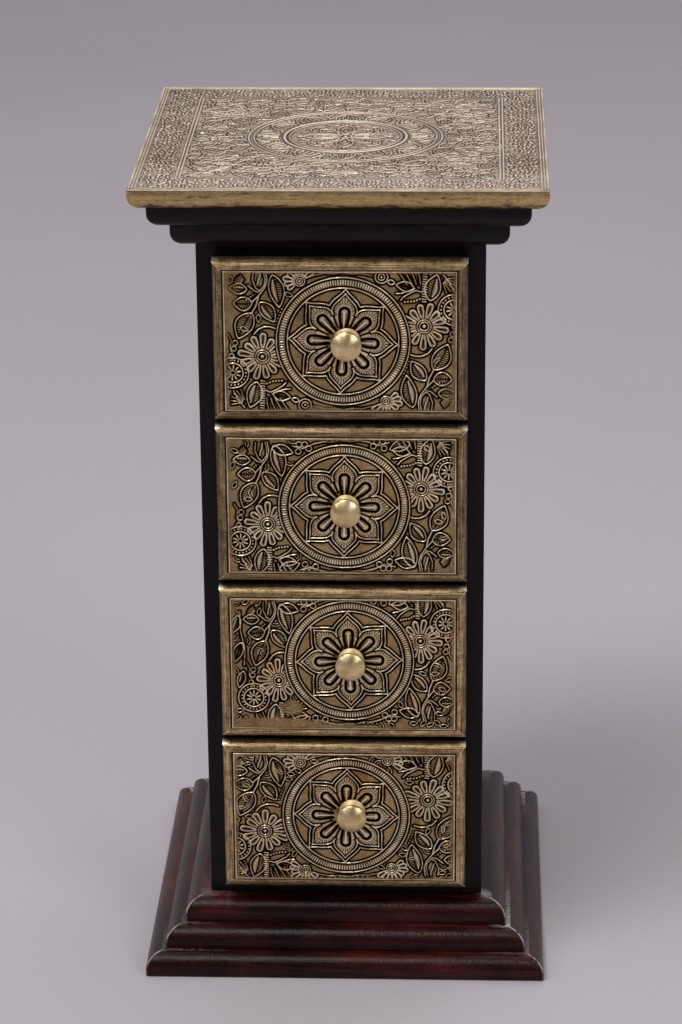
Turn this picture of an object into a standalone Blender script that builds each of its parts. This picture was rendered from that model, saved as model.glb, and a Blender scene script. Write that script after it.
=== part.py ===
"""Small four-drawer chest: a square dark-stained column on a stepped base, under a
stepped cornice and a brass-clad top, with brass-clad drawer fronts and turned knobs.

Metres, +Z up, front towards -Y, origin in the middle of the underside of the base.
"""

import math

import bmesh
import bpy
from mathutils import Matrix, Vector

# ----------------------------------------------------------------------------
# Driving dimensions
# ----------------------------------------------------------------------------
MM = 0.001
GAP = 0.3 * MM  # clearance left between pieces that are glued or rest together

# Stepped base: three stacked boards, each with a round-over along its upper edges
BASE_HALF = (111.2 * MM, 100.7 * MM, 90.0 * MM)
BASE_PITCH = (12.4 * MM, 11.4 * MM, 12.4 * MM)
ROUND_OVER = 8.0 * MM
ROUND_STEPS = 8

# Column (carcass)
COLUMN_HALF = 76.2 * MM
COLUMN_Z0 = sum(BASE_PITCH)
COLUMN_PITCH = 381.7 * MM
SIDE_T = 12.0 * MM
BACK_T = 6.0 * MM
DIVIDER_T = 8.0 * MM
DADO_DEPTH = 2.5 * MM
EDGE_SOFTEN = 0.6 * MM

# Cornice and top: round-over along the lower edges
CORNICE_LOWER_HALF = 88.4 * MM
CORNICE_LOWER_PITCH = 13.2 * MM
CORNICE_UPPER_HALF = 99.4 * MM
CORNICE_UPPER_PITCH = 11.8 * MM
TOP_HALF = 108.3 * MM
TOP_T = 11.6 * MM
TOP_SHEET_T = 0.9 * MM  # brass sheet measured over its embossing
CLADDING_T = 0.5 * MM  # plain brass strip

# Drawer fronts
DRAWERS = 4
FRONT_W = 134.0 * MM
FRONT_H = 89.0 * MM
FRONT_GAP = 10.0 / 3.0 * MM  # visible gap between two fronts
FRONT_TOP_REVEAL = 5.9 * MM  # carcass seen above the topmost front
FRONT_T = 15.1 * MM
FRONT_EDGE_R = 5.8 * MM
EDGING_DEPTH = 7.0 * MM  # the brass strips cover the rounded edge and a little behind it
FACE_SHEET_T = 0.8 * MM
FACE_PROUD = 0.3 * MM  # the sheet's embossing stands this far in front of the edging

# Drawer boxes
BOX_HALF_W = 63.2 * MM
BOX_H = 78.0 * MM
BOX_DEPTH = 140.0 * MM
BOX_T = 6.0 * MM
BOTTOM_T = 3.0 * MM
BOTTOM_RAISE = 4.0 * MM  # drawer bottom above the lower edge of the drawer sides
GROOVE_DEPTH = 2.5 * MM

# Knobs and fasteners
KNOB_R = 8.1 * MM
KNOB_LENGTH = 13.0 * MM
KNOB_DOME_R = 12.7 * MM  # radius of the sphere that the knob's front belongs to
KNOB_BORE_R = 2.3 * MM
KNOB_BORE_DEPTH = 9.0 * MM
# knobs are set by hand near the middle of each embossed medallion: right of and above the
# middle of the front, top drawer first
KNOB_AT = (
    (3.5 * MM, 0.8 * MM),
    (2.4 * MM, -0.2 * MM),
    (4.3 * MM, 3.0 * MM),
    (4.4 * MM, 4.1 * MM),
)
SCREW_R = 2.0 * MM
SCREW_HEAD_R = 4.0 * MM
KNOB_SCREW_HEAD_T = 2.4 * MM
KNOB_SCREW_IN_KNOB = 8.0 * MM
SCREW_SIDES = 12
KNOB_SIDES = 24
BASE_SCREW_AT = 48.0 * MM
BASE_SCREW_L = 44.5 * MM
TOP_SCREW_AT = 46.0 * MM
TOP_SCREW_L = 39.5 * MM
SCREW_SUNK = 0.6 * MM  # countersunk head below the surface of the board

# Derived levels
COLUMN_Z1 = COLUMN_Z0 + COLUMN_PITCH - GAP
CORNICE_LOWER_Z = COLUMN_Z0 + COLUMN_PITCH
CORNICE_UPPER_Z = CORNICE_LOWER_Z + CORNICE_LOWER_PITCH
TOP_Z = CORNICE_UPPER_Z + CORNICE_UPPER_PITCH
TOTAL_H = TOP_Z + TOP_T
FRONT_PITCH = FRONT_H + FRONT_GAP
FRONT_BACK_Y = -COLUMN_HALF - GAP
FRONT_CENTRES = [
    COLUMN_Z0 + COLUMN_PITCH - FRONT_TOP_REVEAL - FRONT_H / 2 - i * FRONT_PITCH
    for i in range(DRAWERS)
]
FRONT_OVERLAP = (DIVIDER_T - FRONT_GAP) / 2  # each front laps the carcass by this much
OPENING_H = FRONT_H - 2 * FRONT_OVERLAP
INNER_HALF = COLUMN_HALF - SIDE_T

# ----------------------------------------------------------------------------
# Scene set-up
# ----------------------------------------------------------------------------
for old in list(bpy.data.objects):
    bpy.data.objects.remove(old, do_unlink=True)

CHEST = bpy.data.collections.new("chest_of_drawers")
CUTTERS = bpy.data.collections.new("chest_cutters")
bpy.context.scene.collection.children.link(CHEST)
bpy.context.scene.collection.children.link(CUTTERS)


def material(name, colour, roughness, metallic):
    made = bpy.data.materials.new(name)
    made.use_nodes = True
    shader = made.node_tree.nodes["Principled BSDF"]
    shader.inputs["Base Color"].default_value = (*colour, 1.0)
    shader.inputs["Roughness"].default_value = roughness
    shader.inputs["Metallic"].default_value = metallic
    made.diffuse_color = (*colour, 1.0)
    return made


COLUMN_WOOD = material("column_wood", (0.022, 0.015, 0.013), 0.42, 0.0)
CORNICE_WOOD = material("cornice_wood", (0.024, 0.014, 0.013), 0.40, 0.0)
BASE_WOOD = material("base_wood", (0.055, 0.018, 0.016), 0.34, 0.0)
BOX_WOOD = material("drawer_box_wood", (0.36, 0.24, 0.14), 0.70, 0.0)
CORE_WOOD = material("front_core_wood", (0.16, 0.095, 0.055), 0.70, 0.0)
EMBOSSED_BRASS = material("embossed_brass", (0.38, 0.30, 0.17), 0.38, 1.0)
EDGE_BRASS = material("edge_brass", (0.46, 0.36, 0.20), 0.35, 1.0)
KNOB_BRASS = material("knob_brass", (0.70, 0.57, 0.35), 0.24, 1.0)
SCREW_STEEL = material("screw_steel", (0.42, 0.41, 0.39), 0.38, 1.0)


# ----------------------------------------------------------------------------
# Shape helpers
# ----------------------------------------------------------------------------
def link(name, mesh, mat, where=CHEST, location=(0, 0, 0), rotation=(0, 0, 0), parent=None):
    """A named object on a mesh, with its material, placed in a collection."""
    obj = bpy.data.objects.new(name, mesh)
    where.objects.link(obj)
    obj.location = location
    obj.rotation_euler = rotation
    obj.parent = parent
    if mat is not None and not mesh.materials:
        mesh.materials.append(mat)
    return obj


def box_bmesh(low, high):
    """A box between two corners, from Blender's cube."""
    low, high = Vector(low), Vector(high)
    bm = bmesh.new()
    size = high - low
    bmesh.ops.create_cube(
        bm, size=1.0, matrix=Matrix.Translation((low + high) / 2) @ Matrix.Diagonal((*size, 1.0))
    )
    return bm


def to_mesh(bm, name):
    mesh = bpy.data.meshes.new(name)
    bm.normal_update()
    bm.to_mesh(mesh)
    bm.free()
    return mesh


def box(name, low, high, mat, soften=0.0, where=CHEST, parent=None, location=(0, 0, 0)):
    """A board between two corners, with all its edges lightly softened."""
    obj = link(name, to_mesh(box_bmesh(low, high), name), mat, where, location, parent=parent)
    if soften:
        bevel = obj.modifiers.new("softened_edges", "BEVEL")
        bevel.width = soften
        bevel.segments = 2
        bevel.limit_method = "ANGLE"
        bevel.harden_normals = False
    return obj


def round_over_box(low, high, radius, steps, keep):
    """A box whose edges chosen by keep(edge) are rounded over, as with a router."""
    bm = box_bmesh(low, high)
    chosen = [e for e in bm.edges if keep((e.verts[0].co, e.verts[1].co))]
    bmesh.ops.bevel(
        bm,
        geom=chosen,
        offset=radius,
        offset_type="OFFSET",
        segments=steps,
        profile=0.5,
        affect="EDGES",
        clamp_overlap=False,
    )
    return bm


def smooth(mesh, degrees=32):
    mesh.shade_smooth()
    mesh.set_sharp_from_angle(angle=math.radians(degrees))


def board(name, half, z0, z1, mat, rounded):
    """A square board with a round-over along its upper or lower edges."""
    at = z1 if rounded == "upper" else z0
    bm = round_over_box(
        (-half, -half, z0),
        (half, half, z1),
        ROUND_OVER,
        ROUND_STEPS,
        lambda ends: all(abs(p.z - at) < 1e-6 for p in ends),
    )
    mesh = to_mesh(bm, name)
    smooth(mesh)
    return link(name, mesh, mat)


def evaluated_mesh(obj, name):
    """The object's mesh with its modifiers worked in."""
    bpy.context.view_layer.update()
    graph = bpy.context.evaluated_depsgraph_get()
    mesh = bpy.data.meshes.new_from_object(obj.evaluated_get(graph))
    mesh.name = name
    return mesh


def cutter(name, bm):
    obj = link(name, to_mesh(bm, name), None, CUTTERS)
    obj.hide_render = True
    obj.display_type = "WIRE"
    return obj


def cut(obj, tool):
    made = obj.modifiers.new("cut_" + tool.name, "BOOLEAN")
    made.operation = "DIFFERENCE"
    made.solver = "EXACT"
    made.object = tool


def turned(name, profile, sides):
    """A solid of revolution about Z from (radius, height) points, top to bottom."""
    bm = bmesh.new()
    points = [bm.verts.new((r, 0.0, z)) for r, z in profile]
    for a, b in zip(points, points[1:]):
        bm.edges.new((a, b))
    obj = link(name, to_mesh(bm, name), None, CUTTERS)
    obj.hide_render = True
    obj.display_type = "WIRE"
    screw = obj.modifiers.new("turning", "SCREW")
    screw.axis = "Z"
    screw.angle = 2 * math.pi
    screw.steps = screw.render_steps = sides
    screw.screw_offset = 0.0
    screw.use_merge_vertices = True
    screw.merge_threshold = 0.00002
    screw.use_smooth_shade = True
    mesh = evaluated_mesh(obj, name)
    bpy.data.objects.remove(obj, do_unlink=True)
    bm = bmesh.new()
    bm.from_mesh(mesh)
    bmesh.ops.remove_doubles(bm, verts=bm.verts, dist=0.00002)
    bmesh.ops.recalc_face_normals(bm, faces=bm.faces)
    bm.to_mesh(mesh)
    bm.free()
    smooth(mesh, 40)
    return mesh


# ----------------------------------------------------------------------------
# Fasteners: one turned profile each, and the clearance holes they pass through
# ----------------------------------------------------------------------------
def countersunk_profile(length, extra):
    """A countersunk wood screw, point up, its flat head at z = 0, grown by extra all round."""
    head, shank = SCREW_HEAD_R + extra, SCREW_R + extra
    cone = head - shank
    return [
        (0.0, length + extra),
        (shank, length - 2 * SCREW_R + extra),
        (shank, 0.5 * MM + cone),
        (head, 0.5 * MM),
        (head, -extra),
        (0.0, -extra),
    ]


def hole_bmesh(length, spots):
    """Four countersunk clearance holes, open below, as one cutter."""
    shank, head = SCREW_R + GAP, SCREW_HEAD_R + GAP
    bm = bmesh.new()
    for x, y, z in spots:
        one = bmesh.new()
        profile = [
            (0.0, length + GAP),
            (shank, length + GAP),
            (shank, 0.5 * MM + head - shank),
            (head, 0.5 * MM),
            (head, -SCREW_SUNK - 2 * MM),
            (0.0, -SCREW_SUNK - 2 * MM),
        ]
        mesh = turned("hole", profile, SCREW_SIDES)
        one.from_mesh(mesh)
        bmesh.ops.translate(one, verts=one.verts, vec=(x, y, z))
        placed = bpy.data.meshes.new("hole_placed")
        one.to_mesh(placed)
        one.free()
        bm.from_mesh(placed)
    return bm


CORNERS = [(1, 1), (-1, 1), (-1, -1), (1, -1)]
BASE_SCREW_SPOTS = [(sx * BASE_SCREW_AT, sy * BASE_SCREW_AT, SCREW_SUNK) for sx, sy in CORNERS]
TOP_PANEL_Z0 = COLUMN_Z0 + COLUMN_PITCH - FRONT_TOP_REVEAL - FRONT_OVERLAP
TOP_SCREW_SPOTS = [
    (sx * TOP_SCREW_AT, sy * TOP_SCREW_AT, TOP_PANEL_Z0 + SCREW_SUNK) for sx, sy in CORNERS
]
BASE_HOLES = cutter("base_screw_holes", hole_bmesh(BASE_SCREW_L, BASE_SCREW_SPOTS))
TOP_HOLES = cutter("top_screw_holes", hole_bmesh(TOP_SCREW_L, TOP_SCREW_SPOTS))

BASE_SCREW = turned("base_screw", countersunk_profile(BASE_SCREW_L, 0.0), SCREW_SIDES)
TOP_SCREW = turned("top_screw", countersunk_profile(TOP_SCREW_L, 0.0), SCREW_SIDES)
for i, spot in enumerate(BASE_SCREW_SPOTS, 1):
    link(f"base_screw_{i}", BASE_SCREW, SCREW_STEEL, location=spot)
for i, spot in enumerate(TOP_SCREW_SPOTS, 1):
    link(f"top_screw_{i}", TOP_SCREW, SCREW_STEEL, location=spot)

# ----------------------------------------------------------------------------
# Stepped base
# ----------------------------------------------------------------------------
level = 0.0
for name, half, pitch in zip(
    ("base_board_lower", "base_board_middle", "base_board_upper"), BASE_HALF, BASE_PITCH
):
    tier = board(name, half, level, level + pitch - GAP, BASE_WOOD, "upper")
    cut(tier, BASE_HOLES)
    level += pitch

# ----------------------------------------------------------------------------
# Column
# ----------------------------------------------------------------------------
bay_floors = [zc - FRONT_H / 2 + FRONT_OVERLAP for zc in FRONT_CENTRES]
divider_tops = bay_floors[: DRAWERS - 1]

dado = bmesh.new()
for z in divider_tops:
    groove = box_bmesh(
        (-INNER_HALF - DADO_DEPTH, -COLUMN_HALF - 5 * MM, z - DIVIDER_T - GAP),
        (INNER_HALF + DADO_DEPTH, COLUMN_HALF - BACK_T, z + GAP),
    )
    holder = to_mesh(groove, "dado_part")
    dado.from_mesh(holder)
DADOES = cutter("divider_dadoes", dado)

for name, sx in (("side_left", -1), ("side_right", 1)):
    x0, x1 = sorted((sx * INNER_HALF, sx * COLUMN_HALF))
    panel = box(
        name,
        (x0, -COLUMN_HALF, COLUMN_Z0),
        (x1, COLUMN_HALF, COLUMN_Z1),
        COLUMN_WOOD,
        EDGE_SOFTEN,
    )
    cut(panel, DADOES)

inner = INNER_HALF - GAP
back_y = COLUMN_HALF - BACK_T
box(
    "back_panel",
    (-inner, back_y, COLUMN_Z0),
    (inner, COLUMN_HALF, COLUMN_Z1),
    COLUMN_WOOD,
)
floor_panel = box(
    "bottom_panel",
    (-inner, -COLUMN_HALF, COLUMN_Z0),
    (inner, back_y - GAP, bay_floors[-1]),
    COLUMN_WOOD,
)
cut(floor_panel, BASE_HOLES)
roof_panel = box(
    "top_panel",
    (-inner, -COLUMN_HALF, TOP_PANEL_Z0),
    (inner, back_y - GAP, COLUMN_Z1),
    COLUMN_WOOD,
)
cut(roof_panel, TOP_HOLES)
for i, z in enumerate(divider_tops, 1):
    reach = INNER_HALF + DADO_DEPTH - GAP
    box(
        f"divider_{i}",
        (-reach, -COLUMN_HALF, z - DIVIDER_T),
        (reach, back_y - GAP, z),
        COLUMN_WOOD,
    )

# ----------------------------------------------------------------------------
# Cornice and top
# ----------------------------------------------------------------------------
cornice_lower = board(
    "cornice_board_lower",
    CORNICE_LOWER_HALF,
    CORNICE_LOWER_Z,
    CORNICE_UPPER_Z - GAP,
    CORNICE_WOOD,
    "lower",
)
cut(cornice_lower, TOP_HOLES)
cornice_upper = board(
    "cornice_board_upper",
    CORNICE_UPPER_HALF,
    CORNICE_UPPER_Z,
    TOP_Z - GAP,
    CORNICE_WOOD,
    "lower",
)
cut(cornice_upper, TOP_HOLES)

SKIN = CLADDING_T + GAP  # the cladding and the clearance behind it
sheet_z = TOTAL_H - TOP_SHEET_T
top_core = round_over_box(
    (-TOP_HALF + SKIN, -TOP_HALF + SKIN, TOP_Z + SKIN),
    (TOP_HALF - SKIN, TOP_HALF - SKIN, sheet_z - GAP),
    ROUND_OVER - SKIN,
    ROUND_STEPS,
    lambda ends: all(abs(p.z - TOP_Z - SKIN) < 1e-6 for p in ends),
)
core_mesh = to_mesh(top_core, "top_board")
smooth(core_mesh)
top_board = link("top_board", core_mesh, CORE_WOOD)
cut(top_board, TOP_HOLES)

# The board stands on the cornice through a packing piece as thick as the lapped cladding
PACK_HALF = TOP_HALF - ROUND_OVER - 2 * MM
pack_foot = cutter(
    "top_board_foot",
    box_bmesh((-PACK_HALF, -PACK_HALF, TOP_Z), (PACK_HALF, PACK_HALF, TOP_Z + 4 * MM)),
)
cut(pack_foot, TOP_HOLES)
foot = top_board.modifiers.new("foot", "BOOLEAN")
foot.operation = "UNION"
foot.solver = "EXACT"
foot.object = pack_foot


def cladding(name, low, high, radius, steps, along, mat, parent=None, location=(0, 0, 0)):
    """A strip of brass wrapped round the four sides of a board and over its rounded edge.

    along is the axis (0, 1 or 2) and the sign of the side whose edge is rounded."""
    axis, sign = along
    edge_at = (high if sign > 0 else low)[axis]
    far_at = (low if sign > 0 else high)[axis]
    bm = round_over_box(
        low, high, radius, steps, lambda ends: all(abs(p[axis] - edge_at) < 1e-6 for p in ends)
    )
    bm.normal_update()
    open_ends = [
        f
        for f in bm.faces
        if abs(abs(f.normal[axis]) - 1.0) < 1e-4
        and min(
            abs(f.calc_center_median()[axis] - edge_at), abs(f.calc_center_median()[axis] - far_at)
        )
        < 1e-6
    ]
    bmesh.ops.delete(bm, geom=open_ends, context="FACES")
    mesh = to_mesh(bm, name)
    smooth(mesh)
    obj = link(name, mesh, mat, location=location, parent=parent)
    solid = obj.modifiers.new("sheet_thickness", "SOLIDIFY")
    solid.thickness = CLADDING_T
    solid.offset = -1.0
    solid.use_even_offset = True
    solid.use_quality_normals = True
    return obj


cladding(
    "top_brass_edging",
    (-TOP_HALF, -TOP_HALF, TOP_Z),
    (TOP_HALF, TOP_HALF, sheet_z - GAP),
    ROUND_OVER,
    ROUND_STEPS,
    (2, -1),
    EDGE_BRASS,
)
box(
    "top_brass_sheet",
    (-TOP_HALF + 0.2 * MM, -TOP_HALF + 0.2 * MM, sheet_z),
    (TOP_HALF - 0.2 * MM, TOP_HALF - 0.2 * MM, TOTAL_H),
    EMBOSSED_BRASS,
)

# ----------------------------------------------------------------------------
# Drawer pieces, modelled round the middle of the back of the front board
# ----------------------------------------------------------------------------
face_y = -FRONT_T  # front of the edging
sheet_back_y = face_y + FACE_SHEET_T - FACE_PROUD
core_y = sheet_back_y + GAP  # front of the wooden block
box_floor = -OPENING_H / 2 + GAP  # lower edge of the drawer sides
bottom_z0 = box_floor + BOTTOM_RAISE
bottom_z1 = bottom_z0 + BOTTOM_T

# Front block: rounded front edges, a groove for the drawer bottom and a hole for the knob screw
core_half_w = FRONT_W / 2 - SKIN
core_half_h = FRONT_H / 2 - SKIN
core = round_over_box(
    (-core_half_w, core_y, -core_half_h),
    (core_half_w, 0.0, core_half_h),
    FRONT_EDGE_R - SKIN,
    6,
    lambda ends: all(abs(p.y - core_y) < 1e-6 for p in ends),
)
core_mesh = to_mesh(core, "front_block")
smooth(core_mesh)
core_obj = link("front_block_shape", core_mesh, COLUMN_WOOD, CUTTERS)
groove_tool = cutter(
    "bottom_groove",
    box_bmesh(
        (-BOX_HALF_W + BOX_T - GROOVE_DEPTH, -GROOVE_DEPTH, bottom_z0 - GAP),
        (BOX_HALF_W - BOX_T + GROOVE_DEPTH, 5 * MM, bottom_z1 + GAP),
    ),
)
screw_hole = bmesh.new()
bmesh.ops.create_cone(
    screw_hole,
    cap_ends=True,
    segments=SCREW_SIDES,
    radius1=SCREW_R + GAP,
    radius2=SCREW_R + GAP,
    depth=40 * MM,
    matrix=Matrix.Rotation(math.pi / 2, 4, "X"),
)
hole_tool = cutter("knob_screw_hole", screw_hole)
cut(core_obj, groove_tool)
cut(core_obj, hole_tool)

# Embossed face sheet with the knob screw's hole
sheet_half_w = FRONT_W / 2 - FRONT_EDGE_R - GAP
sheet_half_h = FRONT_H / 2 - FRONT_EDGE_R - GAP
sheet_obj = box(
    "face_sheet_shape",
    (-sheet_half_w, sheet_back_y - FACE_SHEET_T, -sheet_half_h),
    (sheet_half_w, sheet_back_y, sheet_half_h),
    EMBOSSED_BRASS,
    where=CUTTERS,
)
cut(sheet_obj, hole_tool)

# one of each per drawer, with the hole where that drawer's knob sits
FRONT_BLOCKS, FACE_SHEETS = [], []
for knob_x, knob_z in KNOB_AT:
    hole_tool.location = (knob_x, 0.0, knob_z)
    FRONT_BLOCKS.append(evaluated_mesh(core_obj, "front_block"))
    FACE_SHEETS.append(evaluated_mesh(sheet_obj, "face_sheet"))
bpy.data.objects.remove(core_obj, do_unlink=True)
bpy.data.objects.remove(sheet_obj, do_unlink=True)

# Box sides with the groove that holds the bottom; the bottom slides in under the back
side_tool = cutter(
    "side_groove",
    box_bmesh(
        (-BOX_HALF_W + BOX_T - GROOVE_DEPTH, -5 * MM, bottom_z0 - GAP),
        (BOX_HALF_W - BOX_T + GROOVE_DEPTH, BOX_DEPTH + 5 * MM, bottom_z1 + GAP),
    ),
)


def drawer_side(sx):
    x0, x1 = sorted((sx * BOX_HALF_W, sx * (BOX_HALF_W - BOX_T)))
    shape = box(
        "drawer_side_shape",
        (x0, GAP, box_floor),
        (x1, BOX_DEPTH, box_floor + BOX_H),
        BOX_WOOD,
        where=CUTTERS,
    )
    cut(shape, side_tool)
    mesh = evaluated_mesh(shape, "drawer_side")
    bpy.data.objects.remove(shape, do_unlink=True)
    return mesh


SIDE_MESH = {-1: drawer_side(-1), 1: drawer_side(1)}
box_inner = BOX_HALF_W - BOX_T
BACK_MESH = to_mesh(
    box_bmesh(
        (-box_inner + GAP, BOX_DEPTH - BOX_T, bottom_z1 + GAP),
        (box_inner - GAP, BOX_DEPTH, box_floor + BOX_H),
    ),
    "drawer_back",
)
BOTTOM_MESH = to_mesh(
    box_bmesh(
        (-box_inner - GROOVE_DEPTH + GAP, -GROOVE_DEPTH + GAP, bottom_z0),
        (box_inner + GROOVE_DEPTH - GAP, BOX_DEPTH, bottom_z1),
    ),
    "drawer_bottom",
)

# Turned knob: a stout stem that flares out to a rounded rim, with a shallow dome in front
knob_foot = GAP  # clearance between the knob and the embossed sheet


def knob_profile():
    points = []
    for r in (0.0, 1.8, 3.5, 5.1, 6.4, 7.3):
        sunk = KNOB_DOME_R - math.sqrt(KNOB_DOME_R**2 - (r * MM) ** 2)
        points.append((r * MM, KNOB_LENGTH - sunk))
    # rounded rim, then the stem back to the foot and the bore for the screw
    points += [
        (7.85 * MM, 10.25 * MM),
        (KNOB_R, 9.6 * MM),
        (8.05 * MM, 8.9 * MM),
        (7.75 * MM, 7.8 * MM),
        (7.35 * MM, 6.2 * MM),
        (7.05 * MM, 4.4 * MM),
        (6.95 * MM, 2.8 * MM),
        (7.05 * MM, 1.6 * MM),
        (7.15 * MM, 1.0 * MM),
        (7.1 * MM, knob_foot),
        (KNOB_BORE_R, knob_foot),
        (KNOB_BORE_R, KNOB_BORE_DEPTH),
        (0.0, KNOB_BORE_DEPTH),
    ]
    return points


KNOB = turned("knob", knob_profile(), KNOB_SIDES)

# Knob screw: slotted pan head inside the drawer, shank through the front into the knob
shank_end = FRONT_T + FACE_PROUD + KNOB_SCREW_IN_KNOB
pan = [
    (0.0, shank_end),
    (SCREW_R - 0.4 * MM, shank_end),
    (SCREW_R, shank_end - 0.5 * MM),
    (SCREW_R, -GAP),
    (SCREW_HEAD_R, -GAP),
    (SCREW_HEAD_R, -GAP - 1.4 * MM),
    (SCREW_HEAD_R * 0.72, -GAP - KNOB_SCREW_HEAD_T),
    (0.0, -GAP - KNOB_SCREW_HEAD_T),
]
pan_obj = link("pan_screw_shape", turned("pan_screw", pan, SCREW_SIDES), SCREW_STEEL, CUTTERS)
slot_tool = cutter(
    "screw_slot",
    box_bmesh(
        (-SCREW_HEAD_R - 1 * MM, -0.5 * MM, -GAP - KNOB_SCREW_HEAD_T - 1 * MM),
        (SCREW_HEAD_R + 1 * MM, 0.5 * MM, -GAP - KNOB_SCREW_HEAD_T + 1.1 * MM),
    ),
)
cut(pan_obj, slot_tool)
PAN_SCREW = evaluated_mesh(pan_obj, "pan_screw")
bpy.data.objects.remove(pan_obj, do_unlink=True)

# ----------------------------------------------------------------------------
# The four drawers, each parented to an empty on its sliding axis
# ----------------------------------------------------------------------------
TOWARDS_FRONT = (math.pi / 2, 0.0, 0.0)  # turns +Z to point out of the front
for n, zc in enumerate(FRONT_CENTRES, 1):
    knob_x, knob_z = KNOB_AT[n - 1]
    rail = bpy.data.objects.new(f"drawer{n}_slide_axis", None)
    rail.empty_display_size = 0.02
    rail.location = (0.0, FRONT_BACK_Y, zc)
    CHEST.objects.link(rail)
    link(f"drawer{n}_front_block", FRONT_BLOCKS[n - 1], COLUMN_WOOD, parent=rail)
    link(f"drawer{n}_face_sheet", FACE_SHEETS[n - 1], EMBOSSED_BRASS, parent=rail)
    cladding(
        f"drawer{n}_edging",
        (-FRONT_W / 2, face_y, -FRONT_H / 2),
        (FRONT_W / 2, face_y + EDGING_DEPTH, FRONT_H / 2),
        FRONT_EDGE_R,
        6,
        (1, -1),
        EDGE_BRASS,
        parent=rail,
    )
    link(
        f"drawer{n}_knob",
        KNOB,
        KNOB_BRASS,
        location=(knob_x, face_y - FACE_PROUD, knob_z),
        rotation=TOWARDS_FRONT,
        parent=rail,
    )
    link(
        f"drawer{n}_knob_screw",
        PAN_SCREW,
        SCREW_STEEL,
        location=(knob_x, 0.0, knob_z),
        rotation=TOWARDS_FRONT,
        parent=rail,
    )
    link(f"drawer{n}_side_left", SIDE_MESH[-1], BOX_WOOD, parent=rail)
    link(f"drawer{n}_side_right", SIDE_MESH[1], BOX_WOOD, parent=rail)
    link(f"drawer{n}_back", BACK_MESH, BOX_WOOD, parent=rail)
    link(f"drawer{n}_bottom", BOTTOM_MESH, BOX_WOOD, parent=rail)
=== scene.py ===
"""Looks for the four-drawer brass-clad chest: embossed sheets, lapped edging strips,
moulded boards, turned knobs, their materials, a pale floor, studio light and the camera.

Lengths in the shape functions are millimetres; meshes are made in metres, in the CAD frame
(front towards -Y, +Z up, origin in the middle of the underside of the base).
"""

import math

import bpy  # noqa: E402
import numpy as np  # noqa: E402
from mathutils import Matrix, Vector  # noqa: E402


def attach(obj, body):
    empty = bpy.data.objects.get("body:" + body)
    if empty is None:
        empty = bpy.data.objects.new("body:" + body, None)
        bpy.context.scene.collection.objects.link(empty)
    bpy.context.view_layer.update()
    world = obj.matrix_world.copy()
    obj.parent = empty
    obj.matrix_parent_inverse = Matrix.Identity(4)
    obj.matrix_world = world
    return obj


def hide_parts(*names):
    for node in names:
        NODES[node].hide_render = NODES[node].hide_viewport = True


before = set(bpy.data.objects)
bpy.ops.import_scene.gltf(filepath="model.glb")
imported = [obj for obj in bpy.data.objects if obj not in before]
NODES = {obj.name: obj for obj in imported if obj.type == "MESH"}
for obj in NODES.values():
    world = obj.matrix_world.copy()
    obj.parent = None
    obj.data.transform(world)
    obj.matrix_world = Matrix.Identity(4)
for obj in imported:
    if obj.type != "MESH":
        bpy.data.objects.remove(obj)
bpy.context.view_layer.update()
MM = 0.001

DRAWER_Z = [367.5, 367.5 - 277.0 / 3, 367.5 - 2 * 277.0 / 3, 90.5]  # middles of the fronts
KNOB_AT = [(3.5, 0.8), (2.4, -0.2), (4.3, 3.0), (4.4, 4.1)]  # knobs, from those middles


def curve(points, steps=5):
    """A smooth line through the points."""
    p = np.asarray(points, float)
    p = np.concatenate([[2 * p[0] - p[1]], p, [2 * p[-1] - p[-2]]])
    out = []
    for i in range(1, len(p) - 2):
        for t in np.linspace(0, 1, steps, endpoint=False):
            a, b, c, d = p[i - 1 : i + 3]
            out.append(
                0.5 * (2 * b + (c - a) * t + (2 * a - 5 * b + 4 * c - d) * t**2 + (3 * b - a - 3 * c + d) * t**3)
            )
    out.append(p[-2])
    return np.array(out)


# ----------------------------------------------------------------------------
# Mesh helpers
# ----------------------------------------------------------------------------
def make_object(name, verts, faces, material, smooth=40.0, attributes=()):
    """A mesh object from millimetre points, with float or vector point attributes."""
    mesh = bpy.data.meshes.new(name)
    points = np.asarray(verts, float) * MM
    mesh.from_pydata(points.tolist(), [], [list(map(int, f)) for f in faces])
    mesh.validate()
    for label, values in attributes:
        values = np.asarray(values, np.float32)
        if values.ndim == 1:
            mesh.attributes.new(label, "FLOAT", "POINT").data.foreach_set("value", values)
        else:
            mesh.attributes.new(label, "FLOAT_VECTOR", "POINT").data.foreach_set(
                "vector", values.ravel()
            )
    mesh.materials.append(material)
    mesh.shade_smooth()
    if smooth < 180:
        mesh.set_sharp_from_angle(angle=math.radians(smooth))
    obj = bpy.data.objects.new(name, mesh)
    bpy.context.scene.collection.objects.link(obj)
    return obj


def place(obj, body, slot, *nodes):
    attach(obj, body)
    if nodes:
        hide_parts(*nodes)
    return obj


def wobble(values, seed, scale):
    """A smooth repeatable unevenness along a line, about -1 to 1."""
    total = np.zeros_like(values, dtype=float)
    for k in range(1, 6):
        total += math.sin(seed * 12.9898 * k) * np.sin(values / scale * k + seed * 7.13 * k) / k
    return total * 0.6


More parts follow.
